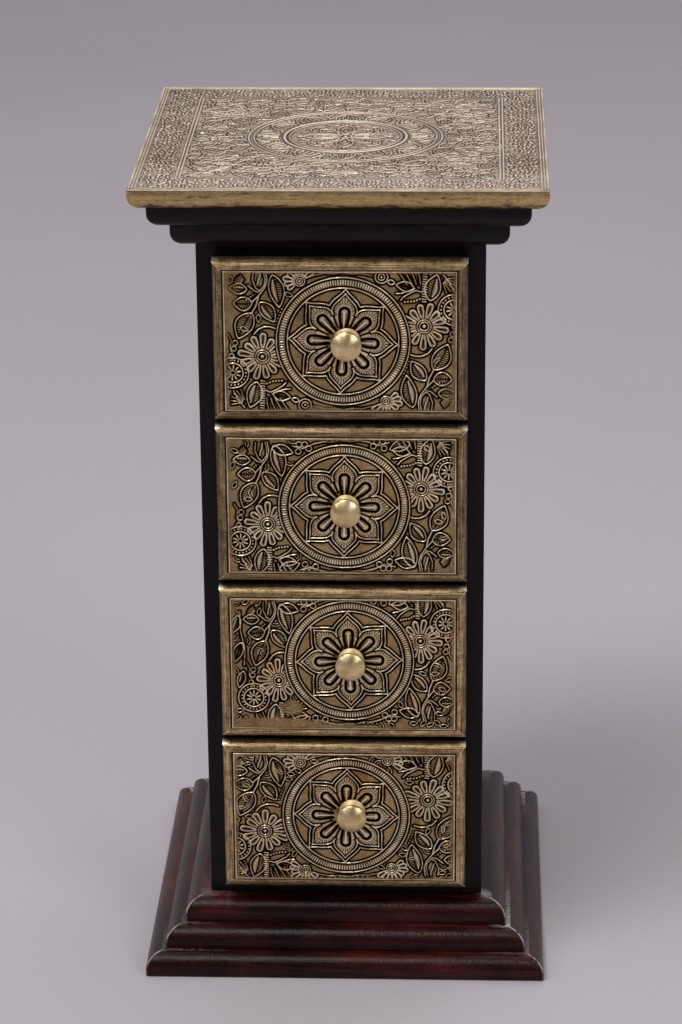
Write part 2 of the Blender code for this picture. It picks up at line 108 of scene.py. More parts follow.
# ----------------------------------------------------------------------------
# Embossed sheets
# ----------------------------------------------------------------------------
class Sheet:
    """A brass sheet that is embossed by strokes, rings, dots and cuts, all in millimetres."""

    def __init__(self, half_w, half_h, nx, ny, fine=2):
        self.half_w, self.half_h, self.nx, self.ny, self.fine = half_w, half_h, nx, ny, fine
        self.gx = np.linspace(-half_w, half_w, nx * fine + 1)
        self.gy = np.linspace(-half_h, half_h, ny * fine + 1)
        shape = (len(self.gy), len(self.gx))
        self.ridge, self.moat = np.zeros(shape), np.zeros(shape)
        self.body, self.cuts = np.zeros(shape), np.zeros(shape)
        self.mask = np.ones(shape)
        self.spot = (0.0, 0.0, 0.0, 1.0)  # middle x, y, turn, spread of what is drawn next

    def at(self, x=0.0, y=0.0, degrees=0.0, spread=1.0):
        self.spot = (x, y, math.radians(degrees), spread)

    def put(self, points):
        """Drawing coordinates to sheet coordinates."""
        x, y, turn, spread = self.spot
        p = np.asarray(points, float).reshape(-1, 2)
        c, s = math.cos(turn), math.sin(turn)
        return np.stack(
            [x + spread * p[:, 0] * c - p[:, 1] * s, y + spread * p[:, 0] * s + p[:, 1] * c], 1
        )

    def near(self, low, high):
        i0, i1 = np.searchsorted(self.gx, [low[0], high[0]])
        j0, j1 = np.searchsorted(self.gy, [low[1], high[1]])
        if i0 >= i1 or j0 >= j1:
            return None
        return (
            (slice(j0, j1), slice(i0, i1)),
            self.gx[i0:i1][None, :],
            self.gy[j0:j1][:, None],
        )

    @staticmethod
    def distance(x, y, points):
        best = None
        for (ax, ay), (bx, by) in zip(points[:-1], points[1:]):
            vx, vy = bx - ax, by - ay
            t = np.clip(((x - ax) * vx + (y - ay) * vy) / (vx * vx + vy * vy + 1e-12), 0, 1)
            d = (x - ax - t * vx) ** 2 + (y - ay - t * vy) ** 2
            best = d if best is None else np.minimum(best, d)
        return np.sqrt(best)

    def _press(self, where, d, width, height, moat, gap):
        half = width / 2
        ridge = height * np.clip(1 - (d / half) ** 2, 0, 1) ** 0.8
        self.ridge[where] = np.maximum(self.ridge[where], ridge)
        if moat:
            side = moat * np.clip(1.75 * (1 - (d - half) / gap), 0, 1)
            self.moat[where] = np.maximum(self.moat[where], np.where(d < half, moat, side))

    def stroke(self, points, width, height=1.0, moat=1.0, gap=1.1, placed=False):
        """A raised line with a chased groove along both sides."""
        p = np.asarray(points, float) if placed else self.put(points)
        reach = width / 2 + gap
        found = self.near(p.min(0) - reach, p.max(0) + reach)
        if found:
            where, x, y = found
            self._press(where, self.distance(x, y, p), width, height, moat, gap)

    def cut(self, points, width, depth=1.0):
        """A pressed-in dark line."""
        p = self.put(points)
        found = self.near(p.min(0) - width / 2, p.max(0) + width / 2)
        if found:
            where, x, y = found
            d = self.distance(x, y, p)
            line = depth * np.clip(1 - (2 * d / width) ** 2, 0, 1) ** 0.8
            self.cuts[where] = np.maximum(self.cuts[where], line)

    def ring(self, centre, radius, width, height=1.0, moat=1.0, gap=1.1):
        c = self.put([centre])[0]
        reach = radius + width / 2 + gap
        found = self.near(c - reach, c + reach)
        if found:
            where, x, y = found
            d = np.abs(np.hypot(x - c[0], y - c[1]) - radius)
            self._press(where, d, width, height, moat, gap)

    def dot(self, centre, radius, height=1.0, moat=0.95, gap=0.8):
        c = self.put([centre])[0]
        reach = radius + gap
        found = self.near(c - reach, c + reach)
        if found:
            where, x, y = found
            self._press(where, np.hypot(x - c[0], y - c[1]), 2 * radius, height, moat, gap)

    def fill(self, points, level):
        """Raises the inside of an outline to a flat level."""
        p = self.put(points)
        found = self.near(p.min(0), p.max(0))
        if not found:
            return
        where, x, y = found
        inside = np.zeros(np.broadcast(x, y).shape, bool)
        for (ax, ay), (bx, by) in zip(p, np.roll(p, -1, 0)):
            if ay == by:
                continue
            crosses = ((ay > y) != (by > y)) & (x < (bx - ax) * (y - ay) / (by - ay) + ax)
            inside ^= crosses
        self.body[where] = np.where(inside, level, self.body[where])

    def ticked_band(self, centre, r0, r1, count, height=1.0):
        """A rope-like band of short radial ticks."""
        c = self.put([centre])[0]
        found = self.near(c - r1 - 0.5, c + r1 + 0.5)
        if not found:
            return
        where, x, y = found
        r, a = np.hypot(x - c[0], y - c[1]), np.arctan2(y - c[1], x - c[0])
        middle, half = (r0 + r1) / 2, (r1 - r0) / 2
        across = np.clip(1 - np.abs((r - middle) / half) ** 4, 0, 1)
        uneven = 0.12 * np.sin(a * 7 + 1.0) + 0.1 * np.sin(a * 17 + 0.4)
        wave = 0.5 + 0.5 * np.cos(a * count + 2.2 * np.sin(a * 3 + 0.6))
        tick = across * np.clip(wave * 1.45 - 0.14 + uneven, 0, 1)
        self.ridge[where] = np.maximum(self.ridge[where], height * tick)
        self.moat[where] = np.maximum(self.moat[where], across * 0.75)

    # ---- motifs -------------------------------------------------------------
    def leaf(self, base, tip, width, bend=0.0, style="seeds", line=0.8):
        """A pointed leaf: raised outline, dark gap, raised body with a vein and seeds or cuts."""
        base, tip = np.array(base, float), np.array(tip, float)
        axis = tip - base
        length = float(np.hypot(*axis))
        axis /= length
        side = np.array([-axis[1], axis[0]])
        t = np.linspace(0, 1, 17)
        spine = base + np.outer(t * length, axis) + np.outer(bend * 4 * t * (1 - t), side)
        spread = width / 2 * np.sin(math.pi * t**0.88) ** 0.85
        left, right = spine + spread[:, None] * side, spine - spread[:, None] * side
        inner = np.clip(spread - 1.35, 0, None)
        keep = inner > 0.12
        if keep.sum() > 3:
            outline = np.concatenate(
                [(spine + inner[:, None] * side)[keep], (spine - inner[:, None] * side)[keep][::-1]]
            )
            self.fill(outline, 1.0)
        self.stroke(left, line)
        self.stroke(right, line)
        if style == "plain":
            return
        self.cut(spine[2:-1], 0.95, 1.0)
        steps = max(2, int(length / 1.55))
        for k in range(1, steps):
            u = 0.10 + 0.78 * k / steps
            at = np.array([np.interp(u, t, spine[:, 0]), np.interp(u, t, spine[:, 1])])
            reach = np.interp(u, t, inner)
            if reach < 0.45:
                continue
            for sign in (1, -1):
                if style == "seeds" and sign < 0:
                    self.dot(at + sign * side * max(0.75, reach * 0.62), 0.55, 1.0, 0.9, 0.5)
                else:
                    a = at + sign * side * 0.35
                    b = at + sign * side * (reach + 0.1) + axis * 0.9
                    self.cut([a, b], 0.72, 0.95)

    def palm(self, base, tip, width, bend=0.0, lines=5, line=1.1):
        """A leaf of several raised lines that run from its base to its tip."""
        base, tip = np.array(base, float), np.array(tip, float)
        axis = tip - base
        length = float(np.hypot(*axis))
        axis /= length
        side = np.array([-axis[1], axis[0]])
        t = np.linspace(0, 1, 11)
        spine = base + np.outer(t * length, axis) + np.outer(bend * 4 * t * (1 - t), side)
        spread = width / 2 * np.sin(math.pi * t**0.8) ** 0.8
        for f in np.linspace(-1, 1, lines):
            keep = slice(0, 11) if abs(f) > 0.99 else slice(1, 10)
            self.stroke((spine + f * spread[:, None] * side)[keep], line, 1.0, 0.95, 0.75)

    def daisy(self, centre, rings, r0, r1, count, width, first=0.0, far_glow=360.0):
        cx, cy = centre
        steps = count if far_glow >= 360 else count - 1
        for k in range(count):
            a = math.radians(first + far_glow * k / max(1, steps))
            long = r1 * (1.0 - 0.07 * ((k * 7) % 3))
            c, s = math.cos(a), math.sin(a)
            loop = []
            end = long - width / 2
            for u, v in [(r0, 0.18 * width), (r0 + 0.55 * (end - r0), 0.42 * width), (end, 0.5 * width)]:
                loop.append((u, v))
            for q in range(1, 6):
                b = math.pi / 2 - math.pi * q / 6
                loop.append((end + 0.5 * width * math.cos(b), 0.5 * width * math.sin(b)))
            for u, v in [(end, -0.5 * width), (r0 + 0.55 * (end - r0), -0.42 * width), (r0, -0.18 * width)]:
                loop.append((u, v))
            loop = [(cx + u * c - v * s, cy + u * s + v * c) for u, v in loop]
            self.fill(loop, 1.0)
            self.stroke(loop, 0.74)
            slot = [(cx + u * c, cy + u * s) for u in (r0 + 0.4 * (end - r0), end)]
            self.cut(slot, 0.95, 1.1)
        for radius in rings[:-1]:
            self.ring(centre, radius, 0.75)
        self.dot(centre, rings[-1], 1.0)
        self.cut([(cx, cy), (cx + 0.05, cy)], 0.55, 0.9)

    def rosette(self, centre, r=5.4):
        cx, cy = centre
        for k in range(10):
            a = 2 * math.pi * k / 10 + 0.2
            c, s = math.cos(a), math.sin(a)
            self.stroke([(cx + 0.4 * r * c, cy + 0.4 * r * s), (cx + 0.74 * r * c, cy + 0.74 * r * s)], 1.05)
        self.ring(centre, 0.24 * r, 0.65)
        self.ring(centre, r, 0.95)
        beads = 22
        for k in range(beads):
            a = 2 * math.pi * k / beads
            self.dot((cx + 1.28 * r * math.cos(a), cy + 1.28 * r * math.sin(a)), 0.62)
        self.ring(centre, 1.55 * r, 0.85)

    def beads(self, points, count, radius=0.6):
        p = np.asarray(points, float)
        lengths = np.concatenate([[0], np.cumsum(np.hypot(*np.diff(p, axis=0).T))])
        for u in np.linspace(0, lengths[-1], count):
            self.dot((np.interp(u, lengths, p[:, 0]), np.interp(u, lengths, p[:, 1])), radius)

    def ladder(self, a, b, width, count):
        """A stem of short cross bars between two thin lines."""
        a, b = np.array(a, float), np.array(b, float)
        axis = (b - a) / np.hypot(*(b - a))
        side = np.array([-axis[1], axis[0]]) * width / 2
        for k in range(count):
            p = a + (b - a) * (k + 0.5) / count
            self.stroke([p - side, p + side + axis * 0.3], 0.85, 0.95)

    def frame_line(self, half_w, half_h, width, height=1.0, moat=0.8):
        p = [(-half_w, -half_h), (half_w, -half_h), (half_w, half_h), (-half_w, half_h), (-half_w, -half_h)]
        for a, b in zip(p[:-1], p[1:]):
            self.stroke([a, b], width, height, moat, placed=True)

    # ---- to a mesh ----------------------------------------------------------
    def maps(self, ground=0.45, rim=None):
        raised = np.clip(self.ridge, 0, 1)
        deep = np.clip(self.moat * (1 - 0.75 * self.body), 0, 1)
        cuts = self.cuts * (1 - raised)
        low = np.clip(ground + 0.30 * self.body - 0.45 * deep - 0.5 * cuts, 0, 1)
        height = low * (1 - raised) + raised
        tone = np.clip(0.56 + 0.20 * self.body - 0.78 * deep - 0.86 * cuts, -0.22, 1)
        tone = tone * (1 - raised**0.8) + 1.12 * raised**0.8
        height = (ground + 0.06) + (height - ground - 0.06) * self.mask
        tone = 0.56 + (tone - 0.56) * self.mask
        for field in (height, tone):
            soft = np.pad(field, 1, mode="edge")
            soft = (soft[:-2] + 2 * soft[1:-1] + soft[2:]) / 4
            soft = (soft[:, :-2] + 2 * soft[:, 1:-1] + soft[:, 2:]) / 4
            field[:] = soft
        if rim is not None:
            x, y = np.abs(self.gx)[None, :], np.abs(self.gy)[:, None]
            inset = np.minimum(self.half_w - x, self.half_h - y)
            lip = np.clip(1 - np.abs(inset - rim * 0.5) / (rim * 0.62), 0, 1) ** 0.6
            height[:] = np.maximum(height * (1 - lip) + 0.86 * lip, 0)
            # the raised lip is painted bright, a painted highlight along the sheet's edge
            rubbed_and_sheen = 0.95 + 0.18 * np.sin(self.gx / 9.0 + 1.3)[None, :] * np.sin(self.gy / 7.0 + 0.4)[:, None]
            tone[:] = tone * (1 - lip) + rubbed_and_sheen * lip
            # a darker band just inside the lip, beside the brass edging, is painted shadow
            beside_edging_shade = np.clip(1 - np.abs(inset - rim * 1.55) / (rim * 0.5), 0, 1)
            tone[:] -= 0.16 * beside_edging_shade
        f = self.fine
        return height[::f, ::f], tone[::f, ::f].copy()

    def to_object(self, name, material, point, height, tone, swing=None, part=None):
        """A closed plate: the embossed face, its four sides and a plain back.

        point(x, y, up) gives the place of a spot at a height of up millimetres above the back."""
        gx, gy = np.meshgrid(self.gx[:: self.fine], self.gy[:: self.fine])
        up = height if swing is None else height + swing
        if part is not None:
            gx, gy, up, tone = gx[part], gy[part], up[part], tone[part]
        ny, nx = up.shape
        face = point(gx.ravel(), gy.ravel(), up.ravel())
        index = np.arange(nx * ny).reshape(ny, nx)
        quads = np.stack(
            [index[:-1, :-1], index[:-1, 1:], index[1:, 1:], index[1:, :-1]], -1
        ).reshape(-1, 4)
        loop = np.concatenate([index[0, :-1], index[:-1, -1], index[-1, :0:-1], index[:0:-1, 0]])
        flat_x, flat_y = gx.ravel()[loop], gy.ravel()[loop]
        back = point(flat_x, flat_y, np.full(len(loop), -0.28))
        start = nx * ny
        ring = np.arange(len(loop)) + start
        walls = np.stack([loop, ring, np.roll(ring, -1), np.roll(loop, -1)], -1)
        faces = quads.tolist() + walls.tolist() + [ring[::-1].tolist()]
        tones = np.concatenate([tone.ravel(), np.full(len(loop), 0.55)])
        return make_object(
            name, np.concatenate([face, back]), faces, material, 75.0, [("tone", tones)]
        )


def medallion(sheet):
    """Eight pointed petals with doubled outlines in a roped ring, drawn round the point set with at()."""
    x, y, turn, spread = sheet.spot
    sheet.spot = (x, y, turn, 1.0)
    sheet.ring((0, 0), 35.0, 0.85)
    sheet.ticked_band((0, 0), 30.8, 33.7, 150)
    sheet.ring((0, 0), 29.3, 0.85)
    outer = curve([(28.9, 0), (27.6, 0.85), (26.0, 2.3), (24.3, 4.1), (22.6, 5.8), (21.0, 7.1), (19.5, 7.95)])
    inner = curve([(26.6, 0), (25.3, 0.85), (23.7, 2.3), (22.0, 4.0), (20.3, 5.45), (18.6, 6.3), (16.8, 6.5), (14.8, 5.95)])
    body = curve([(24.6, 0), (23.2, 1.15), (21.5, 2.9), (19.8, 4.3), (17.9, 5.15), (15.8, 5.2), (12.8, 4.3), (9.2, 3.0)])
    for k in range(8):
        sheet.spot = (x, y, turn + math.radians(45 * k), 1.0)
        for sign in (1, -1):
            sheet.stroke(outer * (1, sign), 0.82)
            sheet.stroke((inner - (0.3, 0.0)) * (1, sign), 0.80)
        sheet.fill(np.concatenate([body, body[::-1] * (1, -1)]), 1.4)
        # fringe of short ticks fanned round the tip
        for q in range(-8, 9):
            a = math.radians(q * 13.8)
            c, s = math.cos(a), math.sin(a)
            start = 4.1 + 0.3 * (q % 2)
            far = 8.8 - 3.6 * abs(math.sin(a * 0.85)) ** 0.7
            mid = 16.2
            sheet.cut([(mid + start * c, start * s), (mid + far * c, far * s)], 0.52, 1.0)
        # teardrop recess and the stamen in it
        drop = [(7.5, 1.35), (10.5, 1.9), (13.4, 2.35)]
        drop += [
            (16.2 + 2.3 * math.cos(b), 2.45 * math.sin(b))
            for b in np.linspace(math.radians(85), math.radians(-85), 9)
        ]
        drop += [(13.4, -2.35), (10.5, -1.9), (7.5, -1.35)]
        sheet.cut(drop, 1.95, 1.5)
        sheet.stroke([(6.5, 0), (12.4, 0)], 0.55, 0.7, 0.0)
        sheet.stroke([(12.6, 0.1), (16.0, 0.2)], 0.95, 1.0, 0.0)
        for sign in (1, -1):
            sheet.cut([(9.0, 0.62 * sign), (12.4, 0.85 * sign), (15.6, 1.0 * sign)], 0.62, 0.75)
        # dark line where two petals meet
        sheet.spot = (x, y, turn + math.radians(45 * k + 22.5), 1.0)
        sheet.cut([(8.4, 0), (19.0, 0)], 1.0, 1.2)
    sheet.spot = (x, y, turn, spread)


def field_half(sheet, corners):
    """The foliage left of the medallion; the right side is the same, half a turn round."""
    s = sheet
    # upper branch
    s.leaf((-50.0, 28.3), (-59.2, 29.2), 5.6)
    s.leaf((-47.4, 20.8), (-57.2, 20.9), 7.4, 0.4, "veins")
    s.leaf((-43.4, 21.3), (-35.8, 10.7), 7.2, 0.5)
    s.leaf((-47.6, 15.4), (-55.0, 1.4), 9.4, -0.7, "veins")
    s.leaf((-36.6, 36.4), (-33.2, 18.6), 7.9, 0.6)
    s.stroke([(-40.0, 38.4), (-39.4, 33.5), (-40.6, 29.4), (-43.6, 25.4), (-47.2, 21.6)], 0.85)
    s.stroke([(-44.0, 24.6), (-45.2, 20.0), (-47.4, 15.8)], 1.0)
    s.stroke([(-49.4, 30.6), (-46.2, 27.6), (-43.6, 26.8)], 0.7)
    s.beads([(-50.4, 22.6), (-48.6, 23.8), (-46.9, 25.2)], 4, 0.55)
    # bud beside the stem
    s.stroke([(-46.4, 38.2), (-47.0, 33.6), (-45.4, 29.2), (-43.4, 27.6), (-41.0, 30.4), (-40.4, 34.0), (-41.2, 38.2)], 0.72)
    s.fill([(-45.2, 37.6), (-45.4, 33.0), (-43.6, 29.8), (-42.0, 32.0), (-41.9, 37.6)], 0.6)
    s.stroke([(-44.6, 30.6), (-44.0, 33.0), (-43.0, 35.4), (-42.8, 38.2)], 0.7)
    s.cut([(-44.9, 32.4), (-44.6, 36.8)], 0.6, 0.7)
    # small sprays in the corner
    for k in range(5):
        a = math.radians(118 + 13 * k)
        s.stroke([(-50.6 + 2.2 * math.cos(a), 31.6 + 2.2 * math.sin(a)), (-50.6 + 5.6 * math.cos(a), 31.6 + 5.2 * math.sin(a))], 0.6, 0.85)
    # arc over the daisy
    s.stroke([(-46.6, 3.9), (-44.4, 6.5), (-41.4, 7.9), (-38.2, 8.0), (-34.9, 6.9)], 0.95)
    s.beads([(-31.9, 17.6), (-33.4, 14.0), (-34.4, 10.8)], 5, 0.5)
    # daisy, rosette and what grows under them
    s.daisy((-42.5, -8.5), (3.6, 2.35, 1.1), 4.6, 12.9, 13, 3.1, 4)
    s.rosette((-58.2, -17.6))
    s.leaf((-45.6, -22.6), (-49.4, -36.8), 8.2, 0.5)
    s.ladder((-42.4, -21.2), (-43.0, -37.6), 2.2, 12)
    s.beads([(-40.2, -23.4), (-37.2, -22.2), (-32.4, -21.8)], 6, 0.72)
    s.stroke([(-41.0, -27.2), (-38.3, -28.2), (-35.4, -26.8), (-32.2, -24.9), (-30.2, -22.8)], 0.8)
    s.stroke([(-37.6, -29.2), (-34.4, -27.8), (-30.9, -26.6), (-28.0, -26.4)], 0.75)
    s.leaf((-37.2, -29.0), (-27.9, -31.2), 5.2, -0.3, "veins")
    for k in range(6):
        a = math.radians(104 + 19 * k)
        s.stroke([(-52.0 + 1.4 * math.cos(a), -33.8 + 1.4 * math.sin(a)), (-52.4 + 7.2 * math.cos(a), -33.0 + 6.6 * math.sin(a))], 0.65, 0.9)
    s.stroke([(-52.2, -36.9), (-55.2, -33.4), (-58.0, -27.4)], 0.7)
    for x0, x1 in ((-40.6, -39.2), (-38.4, -35.6), (-36.2, -32.0), (-33.6, -28.6)):
        s.stroke([(x0, -31.4), ((x0 + x1) / 2 - 0.4, -34.8), (x1, -39.0)], 0.7, 0.9)
    # loops along the far side
    for x0, y0 in ((-57.4, -4.2), (-58.6, -8.4), (-56.6, -1.0)):
        s.ring((x0, y0), 1.35, 0.65, 0.9)
    s.stroke([(-60.4, 4.0), (-58.6, 0.4), (-59.4, -4.0), (-57.6, -8.0), (-58.4, -11.0)], 0.65, 0.85)
    # small flowers or leaves between the ring and the sheet's long edges
    for sign, kind in zip((1, -1), corners):
        if kind == "daisy":
            first = 35 if sign > 0 else -215
            s.daisy((-22.4, sign * 33.0), (2.7, 1.5, 0.8), 3.4, 8.8, 9, 2.5, first, 180)
        elif kind == "eye":
            s.ring((-20.3, sign * 35.3), 3.3, 0.75)
            s.ring((-20.3, sign * 35.3), 1.7, 0.7)
            s.dot((-20.3, sign * 35.3), 0.7)
            s.leaf((-23.6, sign * 33.0), (-27.2, sign * 32.0), 2.6, 0, "plain")
        else:
            s.leaf((-37.6, sign * 34.6), (-26.4, sign * 31.6), 6.0, sign * 0.4, "veins")
            for px, py in ((-23.4, 32.4), (-19.6, 36.2), (-22.8, 36.4), (-17.6, 33.8)):
                s.ring((px, sign * py), 1.5, 0.7)
            s.stroke([(-26.4, sign * 35.6), (-20.6, sign * 34.0), (-14.4, sign * 36.6), (-8.0, sign * 37.6)], 0.7)
    s.stroke([(-15.6, 35.9), (-10.0, 37.2), (-5.0, 37.0), (0.0, 37.8)], 0.65, 0.8)
    s.stroke([(-15.6, -35.9), (-10.0, -37.2), (-5.0, -37.0), (0.0, -37.8)], 0.65, 0.8)
    for k in range(5):
        s.dot((-12.4 + 2.6 * k, 38.6 - 0.25 * k), 0.55)
        s.dot((-12.4 + 2.6 * k, -38.6 + 0.25 * k), 0.55)


FACE_HALF = (61.1, 38.6)
# per drawer: medallion's place and turn, the foliage's extra turn and spread, its corner motifs
FACES = [
    (1.5, 0.3, -3.3, 0.0, 1.0, ("daisy", "eye")),
    (1.4, -0.2, -0.8, 2.5, 0.975, ("leaf", "leaf")),
    (3.4, 2.3, 1.8, 5.1, 0.93, ("leaf", "leaf")),
    (1.0, 1.0, -1.5, 1.8, 1.07, ("daisy", "daisy")),
]


def sprigs(sheet, seed, tries, middle):
    """Small curls and leaflets in the ground that the larger leaves leave free."""
    rng = np.random.RandomState(seed)
    for _ in range(tries):
        x, y = rng.uniform(-1, 1, 2) * (sheet.half_w - 2.5, sheet.half_h - 2.0)
        turn, kind = rng.uniform(0, 360), rng.uniform()
        if math.hypot(x - middle[0], y - middle[1]) < 37.0:
            continue
        where, _, _ = sheet.near((x - 1.5, y - 1.5), (x + 1.5, y + 1.5))
        if (sheet.ridge[where] > 0.1).any():
            continue
        sheet.at(x, y, turn)
        if kind < 0.5:
            sheet.stroke([(-2.4, -0.5), (-1.0, 0.5), (0.6, 0.7), (2.2, -0.2)], 0.62, 0.95, 0.9, 0.75)
            sheet.stroke([(-1.6, -1.5), (-0.2, -0.8), (1.4, -1.1)], 0.55, 0.9, 0.9, 0.7)
        else:
            for sign in (1, -1):
                sheet.stroke(curve([(-2.2, 0), (-0.8, 1.1 * sign), (0.9, 0.9 * sign), (2.3, 0)], 3), 0.58, 1.0, 0.9, 0.75)
            sheet.cut([(-1.2, 0), (1.4, 0)], 0.5, 0.9)
    sheet.at()


def fade(sheet, margin):
    """Embossing dies away towards the sheet's edges."""
    x, y = np.abs(sheet.gx)[None, :], np.abs(sheet.gy)[:, None]
    ex = np.clip((sheet.half_w - x - 0.9) / margin, 0, 1)
    ey = np.clip((sheet.half_h - y - 0.7) / (margin * 0.5), 0, 1)
    ex, ey = ex * ex * (3 - 2 * ex), ey * ey * (3 - 2 * ey)
    sheet.mask *= (0.12 + 0.88 * ex) * (0.2 + 0.8 * ey)


def worn_patch(sheet, x0, y0, rx, ry, left):
    """A patch where the embossing has been pressed flat."""
    d = np.hypot((sheet.gx[None, :] - x0) / rx, (sheet.gy[:, None] - y0) / ry)
    keep = np.clip((d - 0.75) / 0.4, 0, 1)
    sheet.mask *= left + (1 - left) * keep * keep * (3 - 2 * keep)


def drawer_face(n, material):
    cx, cy, turn, extra, spread, corners = FACES[n - 1]
    sheet = Sheet(*FACE_HALF, 392, 246)
    for half_turn in (0, 180):
        sheet.at(cx, cy, extra + half_turn, spread)
        field_half(sheet, corners)
    if n == 3:
        # this sheet is cut wider on its left, so more of the sprig shows
        sheet.at(cx, cy, extra, spread)
        sheet.leaf((-61.6, 31.5), (-66.6, 21.5), 5.2, 0.3)
        sheet.leaf((-61.4, 15.5), (-66.8, 4.5), 5.4, -0.3, "veins")
        sheet.leaf((-62.4, -1.5), (-66.2, -11.0), 4.6)
        sheet.stroke(curve([(-60.6, 34.0), (-61.4, 22.0), (-60.2, 12.0), (-61.6, 2.0)]), 0.75)
    sprigs(sheet, 40 + n, (260, 600, 1100, 1100)[n - 1], (cx, cy))
    # the medallion is struck over the foliage
    r = np.hypot(sheet.gx[None, :] - cx, sheet.gy[:, None] - cy)
    inside = r < 35.9
    for field in (sheet.ridge, sheet.moat, sheet.body, sheet.cuts):
        field[inside] = 0
    sheet.at(cx, cy, turn)
    medallion(sheet)
    fade(sheet, 3.2)
    if n == 3:
        worn_patch(sheet, -40.0, -36.4, 34.0, 5.0, 0.06)
        worn_patch(sheet, -28.0, -26.0, 6.5, 5.0, 0.15)
        worn_patch(sheet, -1.0, -37.6, 12.0, 3.0, 0.2)
    if n == 1:
        worn_patch(sheet, -58.5, 27.0, 5.0, 13.0, 0.35)
        worn_patch(sheet, 58.0, -30.0, 5.0, 9.0, 0.45)
        worn_patch(sheet, -10.0, -36.8, 9.0, 2.4, 0.3)
    height, tone = sheet.maps(rim=0.6)
    # a flat seat under the knob, with the sheet darker under and round it
    gx, gy = np.meshgrid(sheet.gx[:: sheet.fine], sheet.gy[:: sheet.fine])
    kx, ky = KNOB_AT[n - 1]
    away = np.hypot(gx - kx, gy - ky)
    seat = np.clip((7.3 - away) / 0.8, 0, 1)
    height[:] = height * (1 - seat) + 0.9 * seat
    tone[:] = tone * (1 - seat) + 0.2 * seat - 0.18 * np.clip((9.0 - away) / 2.0, 0, 1)
    zc = DRAWER_Z[n - 1]
    dents = 0.05 * np.sin(gx / 17.0 + n) * np.sin(gy / 11.0 + 2.1 * n) - 0.04

    def point(x, y, up):
        return np.stack([x, -91.15 - 0.72 * up, zc + y], 1)

    obj = sheet.to_object(f"drawer{n}_embossed_face", material, point, height, tone, dents)
    return place(obj, f"drawer{n}", "embossed_brass", f"drawer{n}_face_sheet")


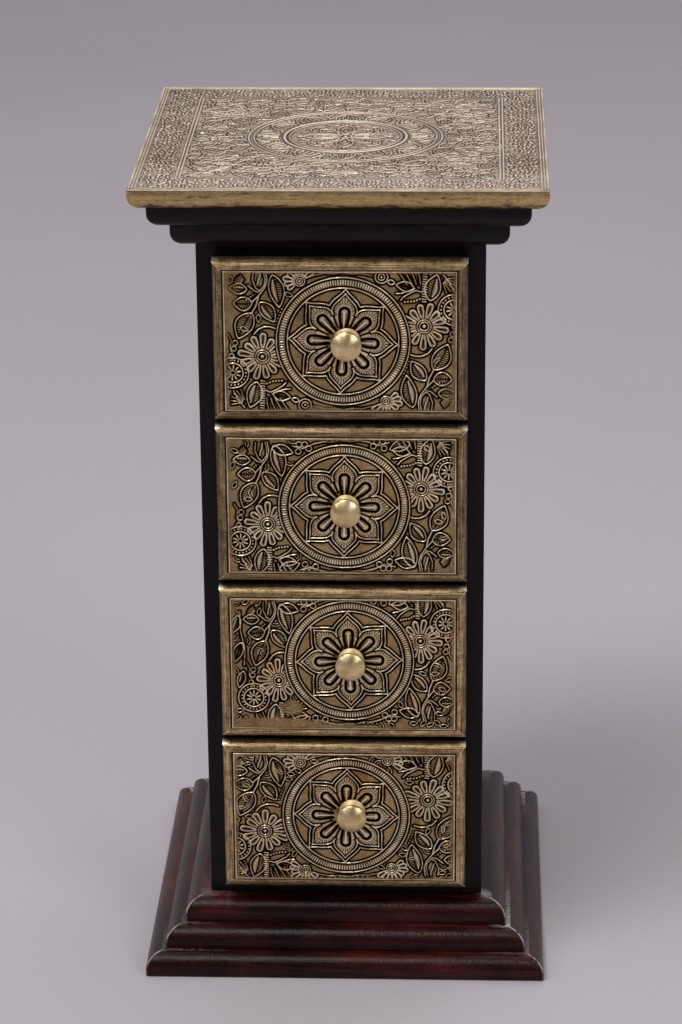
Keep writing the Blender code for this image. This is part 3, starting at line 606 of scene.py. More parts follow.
# ----------------------------------------------------------------------------
# Top sheet
# ----------------------------------------------------------------------------
def top_pattern(sheet):
    """Line frame, a border of struck grains, a field of foliage, and a round medallion."""
    half = sheet.half_w
    rng = np.random.RandomState(11)
    fine, wide = 0.78, 1.0

    def line(points, width=fine, height=1.0):
        sheet.stroke(points, width, height, 0.9, 0.8)

    def leaf(base, tip, width, bend=0.0, ribs=3):
        """A leaf in outline with a midrib and a few ribs."""
        base, tip = np.array(base, float), np.array(tip, float)
        length = float(np.hypot(*(tip - base)))
        axis = (tip - base) / length
        side = np.array([-axis[1], axis[0]])
        t = np.linspace(0, 1, 9)
        spine = base + np.outer(t * length, axis) + np.outer(bend * 4 * t * (1 - t), side)
        spread = width / 2 * np.sin(math.pi * t**0.85) ** 0.8
        for sign in (1, -1):
            line(spine + sign * spread[:, None] * side)
        if ribs:
            line(spine[1:-1], 0.62, 0.9)
        for k in range(ribs):
            u = 0.25 + 0.5 * k / max(1, ribs - 1)
            at = np.array([np.interp(u, t, spine[:, 0]), np.interp(u, t, spine[:, 1])])
            reach = np.interp(u, t, spread)
            for sign in (1, -1):
                line([at, at + sign * side * 0.72 * reach + axis * 0.28 * length / (ribs + 1)], 0.55, 0.85)

    sheet.at()
    for inset in (2.1, 3.7):
        sheet.frame_line(half - inset, half - inset, 0.8, 0.9, 0.28)
    # border: staggered rows of grains, each struck with an oval punch
    columns, rows = int(2 * (half - 6.6) / 2.42), int(2 * (half - 6.6) / 5.3)
    for k in range(columns + 1):
        for j in range(rows + 1):
            x = -(half - 6.6) + 2 * (half - 6.6) * k / columns + rng.uniform(-0.75, 0.75)
            y = -(half - 6.6) + 2 * (half - 6.6) * (j + 0.5 * (k % 2)) / rows + rng.uniform(-1.5, 1.5)
            level, long, lean = rng.uniform(0.75, 1.0), rng.uniform(0.5, 1.3), rng.uniform(-0.6, 0.6)
            if half - 21.8 < max(abs(x), abs(y)) < half - 6.0:
                sheet.stroke([(x - lean, y - long), (x + lean, y + long)], rng.uniform(1.3, 1.8), level, 0.85, 0.5)
    # doubled line between border and field, clear at the sides and faint at front and back
    for inset in (23.2, 25.0):
        reach = half - inset
        for sign in (1, -1):
            sheet.at()
            sheet.stroke([(sign * reach, -reach - 1), (sign * reach, reach + 1)], 0.95, 1.0, 0.4, 0.6)
            sheet.stroke([(-reach, sign * reach), (reach, sign * reach)], 0.8, 0.4, 0.4)
    inner = half - 26.4
    taken = []

    def free(x, y, r, close=0.74):
        if max(abs(x), abs(y)) > inner - 0.45 * r or math.hypot(x, y) < 54.5 + 0.6 * r:
            return False
        return all(math.hypot(x - a, y - b) > close * (r + c) for a, b, c in taken)

    def flower(x, y, r, petals, first):
        """Pointed petals in outline round a ringed eye."""
        for k in range(petals):
            a = first + 2 * math.pi * k / petals
            c, s = math.cos(a), math.sin(a)
            leaf((x + 0.28 * r * c, y + 0.28 * r * s), (x + r * c, y + r * s), 0.48 * r, 0, 0)
        sheet.ring((x, y), 0.16 * r, 0.9)
        taken.append((x, y, r))

    sheet.at()
    for sx in (1, -1):
        flower(sx * 33.0, -68.5, 13.0, 8, 0.2 * sx)
        flower(sx * 33.0, 68.5, 12.0, 8, 0.1 * sx)
        flower(sx * 71.0, -5.0, 10.5, 8, 0.3)
        flower(sx * 67.0, 45.0, 10.0, 8, 0.25 * sx)
        flower(sx * 66.0, -47.0, 10.0, 8, 0.15 * sx)
        # stems that carry pairs of leaves towards the corners
        for sy in (1, -1):
            stem = curve([(sx * 44.0, sy * 40.0), (sx * 53.0, sy * 52.0), (sx * 60.0, sy * 64.0), (sx * 71.0, sy * 76.0)])
            line(stem, wide)
            for k, u in enumerate((0.2, 0.5, 0.8)):
                at = stem[int(u * (len(stem) - 1))]
                for turn in (1, -1):
                    a = math.atan2(sy * 36.0, sx * 27.0) + turn * 0.95
                    tip = (at[0] + 11.0 * math.cos(a), at[1] + 11.0 * math.sin(a))
                    middle = ((at[0] + tip[0]) / 2, (at[1] + tip[1]) / 2)
                    if max(abs(tip[0]), abs(tip[1])) < inner - 0.5:
                        leaf((at[0] + 1.2 * math.cos(a), at[1] + 1.2 * math.sin(a)), tip, 5.6, 0.8 * turn)
                        taken.append((middle[0], middle[1], 5.4))
    for r in (7.4, 6.0, 4.8, 3.8):
        for _ in range(620):
            x, y = rng.uniform(-inner, inner, 2)
            if free(x, y, r):
                near = min((math.hypot(x - a, y - b), a, b) for a, b, c in taken)
                turn = math.atan2(y - near[2], x - near[1]) + rng.uniform(-0.8, 0.8)
                taken.append((x, y, r))
                c, s = 1.05 * r * math.cos(turn), 1.05 * r * math.sin(turn)
                leaf((x - c, y - s), (x + c, y + s), 1.15 * r, 0.22 * r * rng.choice((-1, 1)), 3 if r > 4.5 else 2)
    for _ in range(5200):
        x, y = rng.uniform(-inner, inner, 2)
        if free(x, y, 1.2, 0.86):
            taken.append((x, y, 1.2))
            if rng.uniform() < 0.45:
                sheet.dot((x, y), 0.85, 1.0, 1.0, 0.7)
            else:
                a = rng.uniform(0, math.pi)
                c, s = 1.1 * math.cos(a), 1.1 * math.sin(a)
                line([(x - c, y - s), (x + c, y + s)], 0.85)
    # medallion: doubled outer ring, fan leaves and darts, thick inner ring, eight-petalled flower
    sheet.at()
    x, y = sheet.gx[None, :], sheet.gy[:, None]
    inside = np.hypot(x, y) < 53.6
    for field in (sheet.ridge, sheet.moat, sheet.body, sheet.cuts):
        field[inside] = 0
    sheet.ring((0, 0), 52.3, 1.15, 1.0, 0.7, 0.7)
    sheet.ring((0, 0), 49.4, 0.95, 1.0, 0.7, 0.7)
    for k in range(12):
        sheet.at(0, 0, 30 * k)
        arch = curve([(35.6, -6.6), (40.5, -6.2), (44.6, -3.6), (47.6, 0)])
        line(arch, 1.05)
        line(arch * (1, -1), 1.05)
        for f in (-0.55, 0.0, 0.55):
            line([(36.0, 5.4 * f), (40.6, 5.2 * f), (44.4, 2.6 * f)], 0.9)
        sheet.at(0, 0, 30 * k + 15)
        line([(46.9, -3.9), (43.4, -1.4), (41.6, 0.0), (43.4, 1.4), (46.9, 3.9)], 1.1)
        line([(47.2, 0), (44.4, 0)], 1.2)
        sheet.dot((38.4, 0), 1.0, 1.0, 1.0, 0.7)
    sheet.at()
    sheet.ring((0, 0), 33.0, 1.9, 1.0, 0.8, 0.8)
    sheet.ring((0, 0), 30.2, 0.9, 1.0, 0.7, 0.7)
    for k in range(4):
        sheet.at(0, 0, 90 * k)
        for tip, width in ((22.8, 9.2), (17.4, 4.6)):
            t = np.linspace(0, 1, 11)
            spread = width / 2 * np.sin(math.pi * t**1.1) ** 0.75
            for sign in (1, -1):
                line(np.stack([4.2 + (tip - 4.2) * t, sign * spread], 1), wide if tip > 20 else fine)
        line([(22.4, 0), (25.6, 0)], 1.3)
        for sign in (1, -1):
            sheet.dot((24.2, sign * 2.2), 0.85, 1.0, 1.0, 0.7)
        sheet.at(0, 0, 90 * k + 45)
        for tip, width in ((19.6, 8.2), (14.6, 4.0)):
            t = np.linspace(0, 1, 11)
            spread = width / 2 * np.sin(math.pi * t**1.25) ** 0.7
            for sign in (1, -1):
                line(np.stack([4.6 + (tip - 4.6) * t, sign * spread], 1), wide if tip > 18 else fine)
        line(curve([(22.0, -5.2), (24.4, -2.4), (24.9, 0), (24.4, 2.4), (22.0, 5.2)]), 0.95)
        sheet.dot((22.2, 0), 0.8, 1.0, 1.0, 0.7)
    sheet.at()
    sheet.ring((0, 0), 3.4, 1.1)
    sheet.dot((0, 0), 1.6)
    for _ in range(2600):
        r, a = rng.uniform(6.0, 48.0), rng.uniform(0, 2 * math.pi)
        if 28.2 < r < 35.2:
            continue
        x, y = r * math.cos(a), r * math.sin(a)
        wide_of = 1.7 if r < 30.0 else 0.9
        where, _, _ = sheet.near((x - wide_of, y - wide_of), (x + wide_of, y + wide_of))
        if (sheet.ridge[where] > 0.1).any():
            continue
        a += rng.choice((0.0, 1.571)) + rng.uniform(-0.4, 0.4)
        c, s = 1.2 * math.cos(a), 1.2 * math.sin(a)
        sheet.stroke([(x - c, y - s), (x + c, y + s)], 0.7, 0.95, 0.75, 0.6)
    x, y = np.abs(sheet.gx)[None, :], np.abs(sheet.gy)[:, None]
    edge = np.clip((half - np.maximum(x, y) - 0.4) / 1.4, 0, 1)
    sheet.mask *= 0.25 + 0.75 * edge


TOP_HALF = 108.1


def top_sheet(material):
    count = 580
    sheet = Sheet(TOP_HALF, TOP_HALF, count, count)
    top_pattern(sheet)
    height, tone = sheet.maps(rim=1.1)
    gx, gy = np.meshgrid(sheet.gx[:: sheet.fine], sheet.gy[:: sheet.fine])
    dents = 0.06 * np.sin(gx / 23.0 + 0.7) * np.sin(gy / 19.0 + 1.9)
    edge = np.clip((TOP_HALF - np.maximum(np.abs(gx), np.abs(gy))) / 6.0, 0, 1)
    dents = dents * edge

    def point(x, y, up):
        return np.stack([x, y, 453.72 + 0.75 * np.clip(up, -0.28, 1.0)], 1)

    # darker towards the left and right borders, lighter towards the front, and darker in a thin line along the front
    # edge
    tone[:] = tone - 0.04 * np.clip((np.abs(gx) - 62.0) / 26.0, 0, 1) + 0.10 * np.clip((-gy - 50.0) / 30.0, 0, 1) - 0.20 * np.clip((-gy - 102.5) / 1.5, 0, 1)
    # one sheet, made as four quarters that meet on its middle lines
    low, high = slice(0, count // 2 + 1), slice(count // 2, count + 1)
    for name, part in (("fl", (low, low)), ("fr", (low, high)), ("bl", (high, low)), ("br", (high, high))):
        obj = sheet.to_object(f"top_embossed_sheet_{name}", material, point, height, tone, dents, part)
        place(obj, "carcass", "embossed_brass", "top_brass_sheet")


# ----------------------------------------------------------------------------
# Edging strips of the drawer fronts
# ----------------------------------------------------------------------------
def strip_section(lift):
    """(outward, y) points over a strip's outside and back along its inside, and the painted shade on its lip in the
    groove by the sheet.
    """
    outside = [(-0.25, -84.55), (0.0, -84.75), (0.0, -85.2)]
    for a in np.linspace(3, 72, 13):
        b = math.radians(a)
        outside.append((-5.8 + 5.8 * math.cos(b), -85.8 - 5.8 * math.sin(b)))
    outside += [(-4.55, -91.42), (-4.95, -91.32), (-5.25, -91.0), (-5.4, -90.5), (-5.45, -89.9)]
    outside = np.array(outside)
    tangent = np.gradient(outside, axis=0)
    normal = np.stack([-tangent[:, 1], tangent[:, 0]], 1)
    normal /= np.linalg.norm(normal, axis=1)[:, None]
    if normal[4, 0] < 0:
        normal = -normal
    inner = outside - 0.42 * normal
    # the strip's inner lip, down in the groove by the sheet, gets painted shade
    darkening = np.clip((-outside[:, 0] - 4.85) / 0.5, 0, 1)
    return outside + lift * normal, inner + 0.4 * lift * normal, darkening


# how bright the brass of each drawer's top, right, bottom and left strip has stayed
TARNISH = [(0.74, 0.42, 0.43, 0.44), (0.43, 0.51, 0.52, 0.40), (0.56, 0.74, 0.94, 0.64), (0.56, 0.84, 0.60, 0.76)]


def edging(n, material):
    zc = DRAWER_Z[n - 1]
    made = []
    # shade makes the top strip's brass a little lighter than the others, a painted highlight from the light above
    for which, (name, half_len, half_out, lift, lap, shade) in enumerate(
        (
            ("top", 67.0, 44.5, 0.26, 1.3, 0.60),
            ("right", 44.5, 67.0, 0.0, -0.2, 0.40),
            ("bottom", 67.0, 44.5, 0.20, 1.0, 0.42),
            ("left", 44.5, 67.0, 0.0, -0.2, 0.45),
        )
    ):
        outside, inside, darkening = strip_section(lift)
        section = np.concatenate([outside, inside[::-1]])
        # the strip's inside face is wholly in painted shade
        painted_strip_shade = np.concatenate([darkening, np.ones(len(darkening))])
        arc = np.concatenate([[0], np.cumsum(np.linalg.norm(np.diff(outside, axis=0), axis=1))])
        across = np.concatenate([arc, arc[::-1]])
        count = 110
        u = np.linspace(-1, 1, count)
        u = np.sign(u) * (1 - (1 - np.abs(u)) ** 1.3)
        verts, strip, wear = [], [], []
        seed = n * 3.1 + which * 1.7
        for t in u:
            reach = np.minimum(half_len + section[:, 0] + lap, half_len + 0.05)
            along = t * reach
            # hand-laid strips are a little uneven, and their lapped ends are hammered down
            sway = 0.10 * wobble(np.full(len(section), along[0]), seed, 16.0)
            press = 0.16 * np.clip(1 - (1 - abs(t)) * half_len / 1.6, 0, 1)
            out = half_out + section[:, 0] + sway - press
            y = section[:, 1] - (0.10 * wobble(along, seed + 0.9, 9.0) - press) * np.clip(-section[:, 0] / 5.0, 0, 1)
            if name in ("top", "bottom"):
                sign = 1 if name == "top" else -1
                verts.append(np.stack([along * sign, y, zc + sign * out], 1))
            else:
                sign = 1 if name == "right" else -1
                verts.append(np.stack([sign * out, y, zc - along * sign], 1))
            strip.append(np.stack([along, across, np.full(len(along), n * 10.0 + which * 2.5)], 1))
            end = 0.8 * np.clip(1 - (reach - np.abs(along)) / 0.8, 0, 1)
            # corners of the top strip are rubbed where it bends
            bend = np.clip(1 - np.abs(across - 4.2) / 3.6, 0, 1) * np.clip(1 - (half_len - np.abs(along)) / 6.5, 0, 1)
            end = np.maximum(end, (1.3 if name == "top" else 0.45) * bend)
            wear.append(end if lap > 0 else end * 0.25)
        k = len(section)
        faces = []
        for i in range(count - 1):
            for j in range(k):
                a, b = i * k + j, i * k + (j + 1) % k
                faces.append((a, b, b + k, a + k))
        faces.append(list(range(k))[::-1])
        faces.append([(count - 1) * k + j for j in range(k)])
        # painted shade where a side strip runs under the lapped ends
        under = np.concatenate([np.clip(1 - (half_len - 2.0 - np.abs(t[:, 0])) / 3.0, 0, 1) for t in strip])
        obj = make_object(
            f"drawer{n}_edge_{name}",
            np.concatenate(verts),
            faces,
            material,
            50.0,
            [
                ("strip", np.concatenate(strip)),
                ("wear", np.concatenate(wear)),
                ("painted_strip_shade", np.clip(np.tile(painted_strip_shade, count) + (0.55 * under if lap < 0 else 0), 0, 1)),
                ("shade", np.full(k * count, shade)),
                ("tarnish", np.full(k * count, TARNISH[n - 1][which])),
            ],
        )
        made.append(place(obj, f"drawer{n}", "edge_brass", f"drawer{n}_edging"))
    return made


# ----------------------------------------------------------------------------
# Moulded boards, the top's brass edging and the knobs
# ----------------------------------------------------------------------------
def moulded(name, profile, corner, material, closed, seed, per_side=40, uneven=0.0):
    """A square moulding lofted through (half width, z) points, with lightly eased corners."""
    loops, strip, worn_and_sheen = [], [], []
    arc = np.concatenate([[0], np.cumsum(np.hypot(*np.diff(np.array(profile), axis=0).T))])
    widest = max(h for h, _ in profile)
    for i, (half, z) in enumerate(profile):
        rounded = 1.0 if half < widest - 0.05 else 0.25
        loop, run = [], []
        ease = min(corner, max(0.05, half - 1.0))
        for side in range(4):
            a = math.radians(90 * side)
            c, s = math.cos(a), math.sin(a)
            along = np.linspace(-half + ease, half - ease, per_side + 1)
            away = half + uneven * wobble(along, seed + side * 1.9, 31.0)
            loop += [(x * c + w * s, x * s - w * c) for x, w in zip(along, away)]
            run += list(along + side * 400.0)
            # the rounded corners are marked for wear and for a painted highlight
            worn_and_sheen += [0.0] * len(along) + [0.25 * rounded, rounded, rounded, 0.25 * rounded]
            for q in range(1, 5):
                b = math.radians(-90 + 90 * q / 5)
                x, y = half - ease + ease * math.cos(b), -half + ease + ease * math.sin(b)
                loop.append((x * c - y * s, x * s + y * c))
                run.append(half + side * 400.0)
        loops.append([(x, y, z) for x, y in loop])
        strip.append([(u, arc[i], seed) for u in run])
    k = len(loops[0])
    verts = np.array(loops).reshape(-1, 3)
    faces = []
    count = len(profile)
    for i in range(count if closed else count - 1):
        for j in range(k):
            a, b = i * k + j, i * k + (j + 1) % k
            up = (i + 1) % count * k
            faces.append((a, b, up + (j + 1) % k, up + j))
    if not closed:
        faces.append(list(range(k))[::-1])
        faces.append([(count - 1) * k + j for j in range(k)])
    return make_object(
        name,
        verts,
        faces,
        material,
        35.0,
        [("strip", np.array(strip).reshape(-1, 3)), ("worn_and_sheen", np.array(worn_and_sheen))],
    )


def round_profile(half, z0, z1, radius, upper, steps=14):
    """(half width, z) points up the side of a board with one rounded edge."""
    points = []
    if upper:
        points += [(half - 0.5, z0), (half, z0 + 0.5), (half, z0 + 1.0), (half, z1 - radius)]
        for a in np.linspace(0, 90, steps + 1)[1:]:
            b = math.radians(a)
            points.append((half - radius + radius * math.cos(b), z1 - radius + radius * math.sin(b)))
    else:
        for a in np.linspace(-90, 0, steps + 1)[:-1]:
            b = math.radians(a)
            points.append((half - radius + radius * math.cos(b), z0 + radius + radius * math.sin(b)))
        points += [(half, z0 + radius), (half, z1 - 0.35), (half - 0.35, z1)]
    return points


BASE_TIERS = [
    ("base_board_lower", 111.2, 0.0, 12.1),
    ("base_board_middle", 100.7, 12.4, 23.5),
    ("base_board_upper", 90.0, 23.8, 35.9),
]
CORNICE_TIERS = [
    ("cornice_board_lower", 88.4, 417.9, 430.8),
    ("cornice_board_upper", 99.4, 431.1, 442.6),
]


def boards(base_material, cornice_material):
    for i, (node, half, z0, z1) in enumerate(BASE_TIERS):
        low = z0 if i == 0 else z0 - 0.28
        obj = moulded(
            node.replace("board", "moulding"),
            round_profile(half, low, z1, 8.0, True),
            1.2,
            base_material,
            False,
            1.3 + i,
            uneven=0.06,
        )
        place(obj, "carcass", "base_wood", node)
    for i, (node, half, z0, z1) in enumerate(CORNICE_TIERS):
        obj = moulded(
            node.replace("board", "moulding"),
            round_profile(half, z0, z1 + 0.28, 8.0, False),
            0.9,
            cornice_material,
            False,
            5.3 + i,
            uneven=0.06,
        )
        place(obj, "carcass", "cornice_wood", node)


def top_edging(material):
    half, z0, z1, r = 108.3, 442.9, 453.4, 8.0
    outside = [(half - r - 1.2, z0)]
    for a in np.linspace(-90, 0, 15):
        b = math.radians(a)
        outside.append((half - r + r * math.cos(b), z0 + r + r * math.sin(b)))
    outside += [(half, z1 - 0.5), (half - 0.12, z1 - 0.15), (half - 0.4, z1)]
    inside = [(half - 0.6, z1 - 0.3), (half - 0.6, z0 + r)]
    for a in np.linspace(0, -90, 10)[1:]:
        b = math.radians(a)
        inside.append((half - r + (r - 0.6) * math.cos(b), z0 + r + (r - 0.6) * math.sin(b)))
    inside.append((half - r - 1.2, z0 + 0.6))
    obj = moulded("top_brass_band", outside + inside, 0.7, material, True, 3.7, 60, 0.08)
    return place(obj, "carcass", "edge_brass", "top_brass_edging")


def knob_profile():
    """(radius, distance from the face) from the tip back to the foot."""
    ball = 12.7
    dome = [(r, 13.0 - ball + math.sqrt(ball**2 - r**2)) for r in np.linspace(0, 7.2, 13)]
    rest = curve(
        [dome[-1], (7.86, 10.22), (8.1, 9.6), (8.05, 8.9), (7.75, 7.8), (7.35, 6.2), (7.05, 4.4), (6.95, 2.8), (7.05, 1.6), (7.15, 1.0), (7.1, 0.1)], 4
    )
    # the neck keeps the turning tool's fine rings
    lengths, radii = rest[::-1, 1], rest[::-1, 0]
    neck = np.arange(8.4, 0.6, -0.09)
    fade_in = np.clip((8.4 - neck) / 0.8, 0, 1)
    rings = np.interp(neck, lengths, radii) - 0.13 * fade_in * (1 - np.cos(2 * math.pi * neck / 0.56))
    front = [tuple(p) for p in rest[1:] if p[1] > 8.45]
    return dome + front + list(zip(rings, neck)) + [(7.1, 0.5), (7.1, 0.1)]


def knob(n, material):
    profile = knob_profile()
    sides = 72
    x, z = KNOB_AT[n - 1][0], DRAWER_Z[n - 1] + KNOB_AT[n - 1][1]
    verts, faces = [(x, -91.9 - profile[0][1], z)], []
    for r, d in profile[1:]:
        for k in range(sides):
            a = 2 * math.pi * k / sides
            verts.append((x + r * math.cos(a), -91.9 - d, z + r * math.sin(a)))
    for k in range(sides):
        faces.append((0, 1 + k, 1 + (k + 1) % sides))
    for i in range(len(profile) - 2):
        for k in range(sides):
            a, b = 1 + i * sides + k, 1 + i * sides + (k + 1) % sides
            faces.append((a, a + sides, b + sides, b))
    last = 1 + (len(profile) - 2) * sides
    faces.append([last + k for k in range(sides)])
    stem = [0.0] + [min(max((8.7 - d) / 0.6, 0.0), 1.0) for _, d in profile[1:] for _ in range(sides)]
    obj = make_object(f"drawer{n}_turned_knob", verts, faces, material, 80.0, [("stem", np.array(stem))])
    return place(obj, f"drawer{n}", "knob_brass", f"drawer{n}_knob")


# ----------------------------------------------------------------------------
# Materials
# ----------------------------------------------------------------------------
class Nodes:
    """Small helper to lay out a material's nodes."""

    def __init__(self, name):
        self.material = bpy.data.materials.new(name)
        self.material.use_nodes = True
        self.tree = self.material.node_tree
        self.shader = self.tree.nodes["Principled BSDF"]

    def new(self, kind, **settings):
        node = self.tree.nodes.new(kind)
        for key, value in settings.items():
            setattr(node, key, value)
        return node

    def link(self, a, b):
        self.tree.links.new(a, b)

    def coords(self, scale=(1, 1, 1), source=None):
        mapping = self.new("ShaderNodeMapping")
        mapping.inputs["Scale"].default_value = scale
        if source is None:
            source = self.new("ShaderNodeTexCoord").outputs["Object"]
        self.link(source, mapping.inputs["Vector"])
        return mapping.outputs["Vector"]

    def noise(self, vector, scale, detail=4.0, rough=0.55, distortion=0.0):
        node = self.new("ShaderNodeTexNoise")
        node.inputs["Scale"].default_value = scale
        node.inputs["Detail"].default_value = detail
        node.inputs["Roughness"].default_value = rough
        node.inputs["Distortion"].default_value = distortion
        self.link(vector, node.inputs["Vector"])
        return node.outputs["Fac"]

    def ramp(self, value, stops, interpolation="LINEAR"):
        node = self.new("ShaderNodeValToRGB")
        ramp = node.color_ramp
        ramp.interpolation = interpolation
        while len(ramp.elements) < len(stops):
            ramp.elements.new(0.5)
        for element, (at, colour) in zip(ramp.elements, stops):
            element.position = at
            if isinstance(colour, (int, float)):
                colour = (colour, colour, colour)
            element.color = (*colour, 1.0)
        self.link(value, node.inputs["Fac"])
        return node.outputs["Color"]

    def math(self, operation, a, b=None, clamp=False):
        node = self.new("ShaderNodeMath", operation=operation, use_clamp=clamp)
        for socket, value in zip(node.inputs, (a, b)):
            if value is None:
                continue
            if isinstance(value, (int, float)):
                socket.default_value = value
            else:
                self.link(value, socket)
        return node.outputs[0]

    def span(self, value, low, high):
        node = self.new("ShaderNodeMapRange", interpolation_type="SMOOTHSTEP")
        for key, number in (("From Min", low), ("From Max", high), ("To Min", 0.0), ("To Max", 1.0)):
            node.inputs[key].default_value = number
        self.link(value, node.inputs["Value"])
        return node.outputs["Result"]

    def mix(self, factor, a, b, blend="MIX"):
        node = self.new("ShaderNodeMix", data_type="RGBA", blend_type=blend)
        for socket, value in ((node.inputs[0], factor), (node.inputs[6], a), (node.inputs[7], b)):
            if isinstance(value, (int, float)):
                socket.default_value = value
            elif isinstance(value, tuple):
                socket.default_value = (*value, 1.0)
            else:
                self.link(value, socket)
        return node.outputs[2]

    def attribute(self, name, output="Fac"):
        return self.new("ShaderNodeAttribute", attribute_name=name).outputs[output]

    def bump(self, height, strength, distance):
        node = self.new("ShaderNodeBump")
        node.inputs["Strength"].default_value = strength
        node.inputs["Distance"].default_value = distance
        self.link(height, node.inputs["Height"])
        self.link(node.outputs["Normal"], self.shader.inputs["Normal"])

    def set(self, **values):
        for key, value in values.items():
            self.shader.inputs[key.replace("_", " ")].default_value = value

    def feed(self, socket, output):
        self.link(output, self.shader.inputs[socket])


def embossed_brass(name, pale=0.0, fine=1.0):
    """Old embossed brass: black in the chased lines, brown on the ground, rubbed bright on the ridges."""
    m = Nodes(name)
    tone = m.attribute("tone")
    place_ = m.coords()
    cloud = m.noise(place_, 34.0, 5.0, 0.6)
    mottle = m.noise(place_, 240.0, 4.0, 0.6)
    speck = m.noise(place_, 1150.0 * fine, 3.0, 0.65)
    shifted = tone
    for field, amount in ((cloud, 0.42), (mottle, 0.40), (speck, 0.34)):
        shifted = m.math("ADD", shifted, m.math("MULTIPLY", m.math("SUBTRACT", field, 0.5), amount))
    shifted = m.math("ADD", shifted, 0.0, True)
    p = pale
    colour = m.ramp(
        shifted,
        [
            (0.0, (0.006 + 0.06 * p, 0.004 + 0.048 * p, 0.0025 + 0.04 * p)),
            (0.22, (0.024 + 0.14 * p, 0.015 + 0.12 * p, 0.008 + 0.10 * p)),
            (0.42, (0.205 + 0.20 * p, 0.140 + 0.19 * p, 0.066 + 0.19 * p)),
            (0.60, (0.42 + 0.16 * p, 0.305 + 0.16 * p, 0.150 + 0.21 * p)),
            (0.82, (0.73 + 0.03 * p, 0.605 + 0.04 * p, 0.40 + 0.12 * p)),
            (1.0, (0.97 - 0.08 * p, 0.88 - 0.08 * p, 0.70 - 0.06 * p)),
        ],
    )
    # coppery and greenish drifts in the old brass
    drift = m.noise(m.coords((1, 1, 1.4)), 58.0, 3.0, 0.5)
    colour = m.mix(m.ramp(drift, [(0.48, 0.0), (0.70, 0.6 - 0.8 * p)]), colour, (1.0, 0.74, 0.56), "MULTIPLY")
    if pale:
        # dull grey film on a face that is dusted and not handled
        film = m.noise(m.coords((1, 1, 1)), 46.0, 4.0, 0.55)
        colour = m.mix(m.ramp(film, [(0.30, 0.75), (0.70, 1.0)]), colour, (0.845, 0.855, 0.94), "MULTIPLY")
    m.feed("Base Color", colour)
    m.feed("Roughness", m.ramp(shifted, [(0.0, 0.60), (0.45, 0.47 + 0.10 * p), (1.0, 0.30 + 0.26 * p)]))
    m.set(Metallic=1.0)
    grain = m.math("ADD", speck, m.math("MULTIPLY", mottle, 0.9))
    m.bump(m.math("ADD", grain, m.math("MULTIPLY", cloud, 0.6)), 0.35, 0.00022)
    return m.material


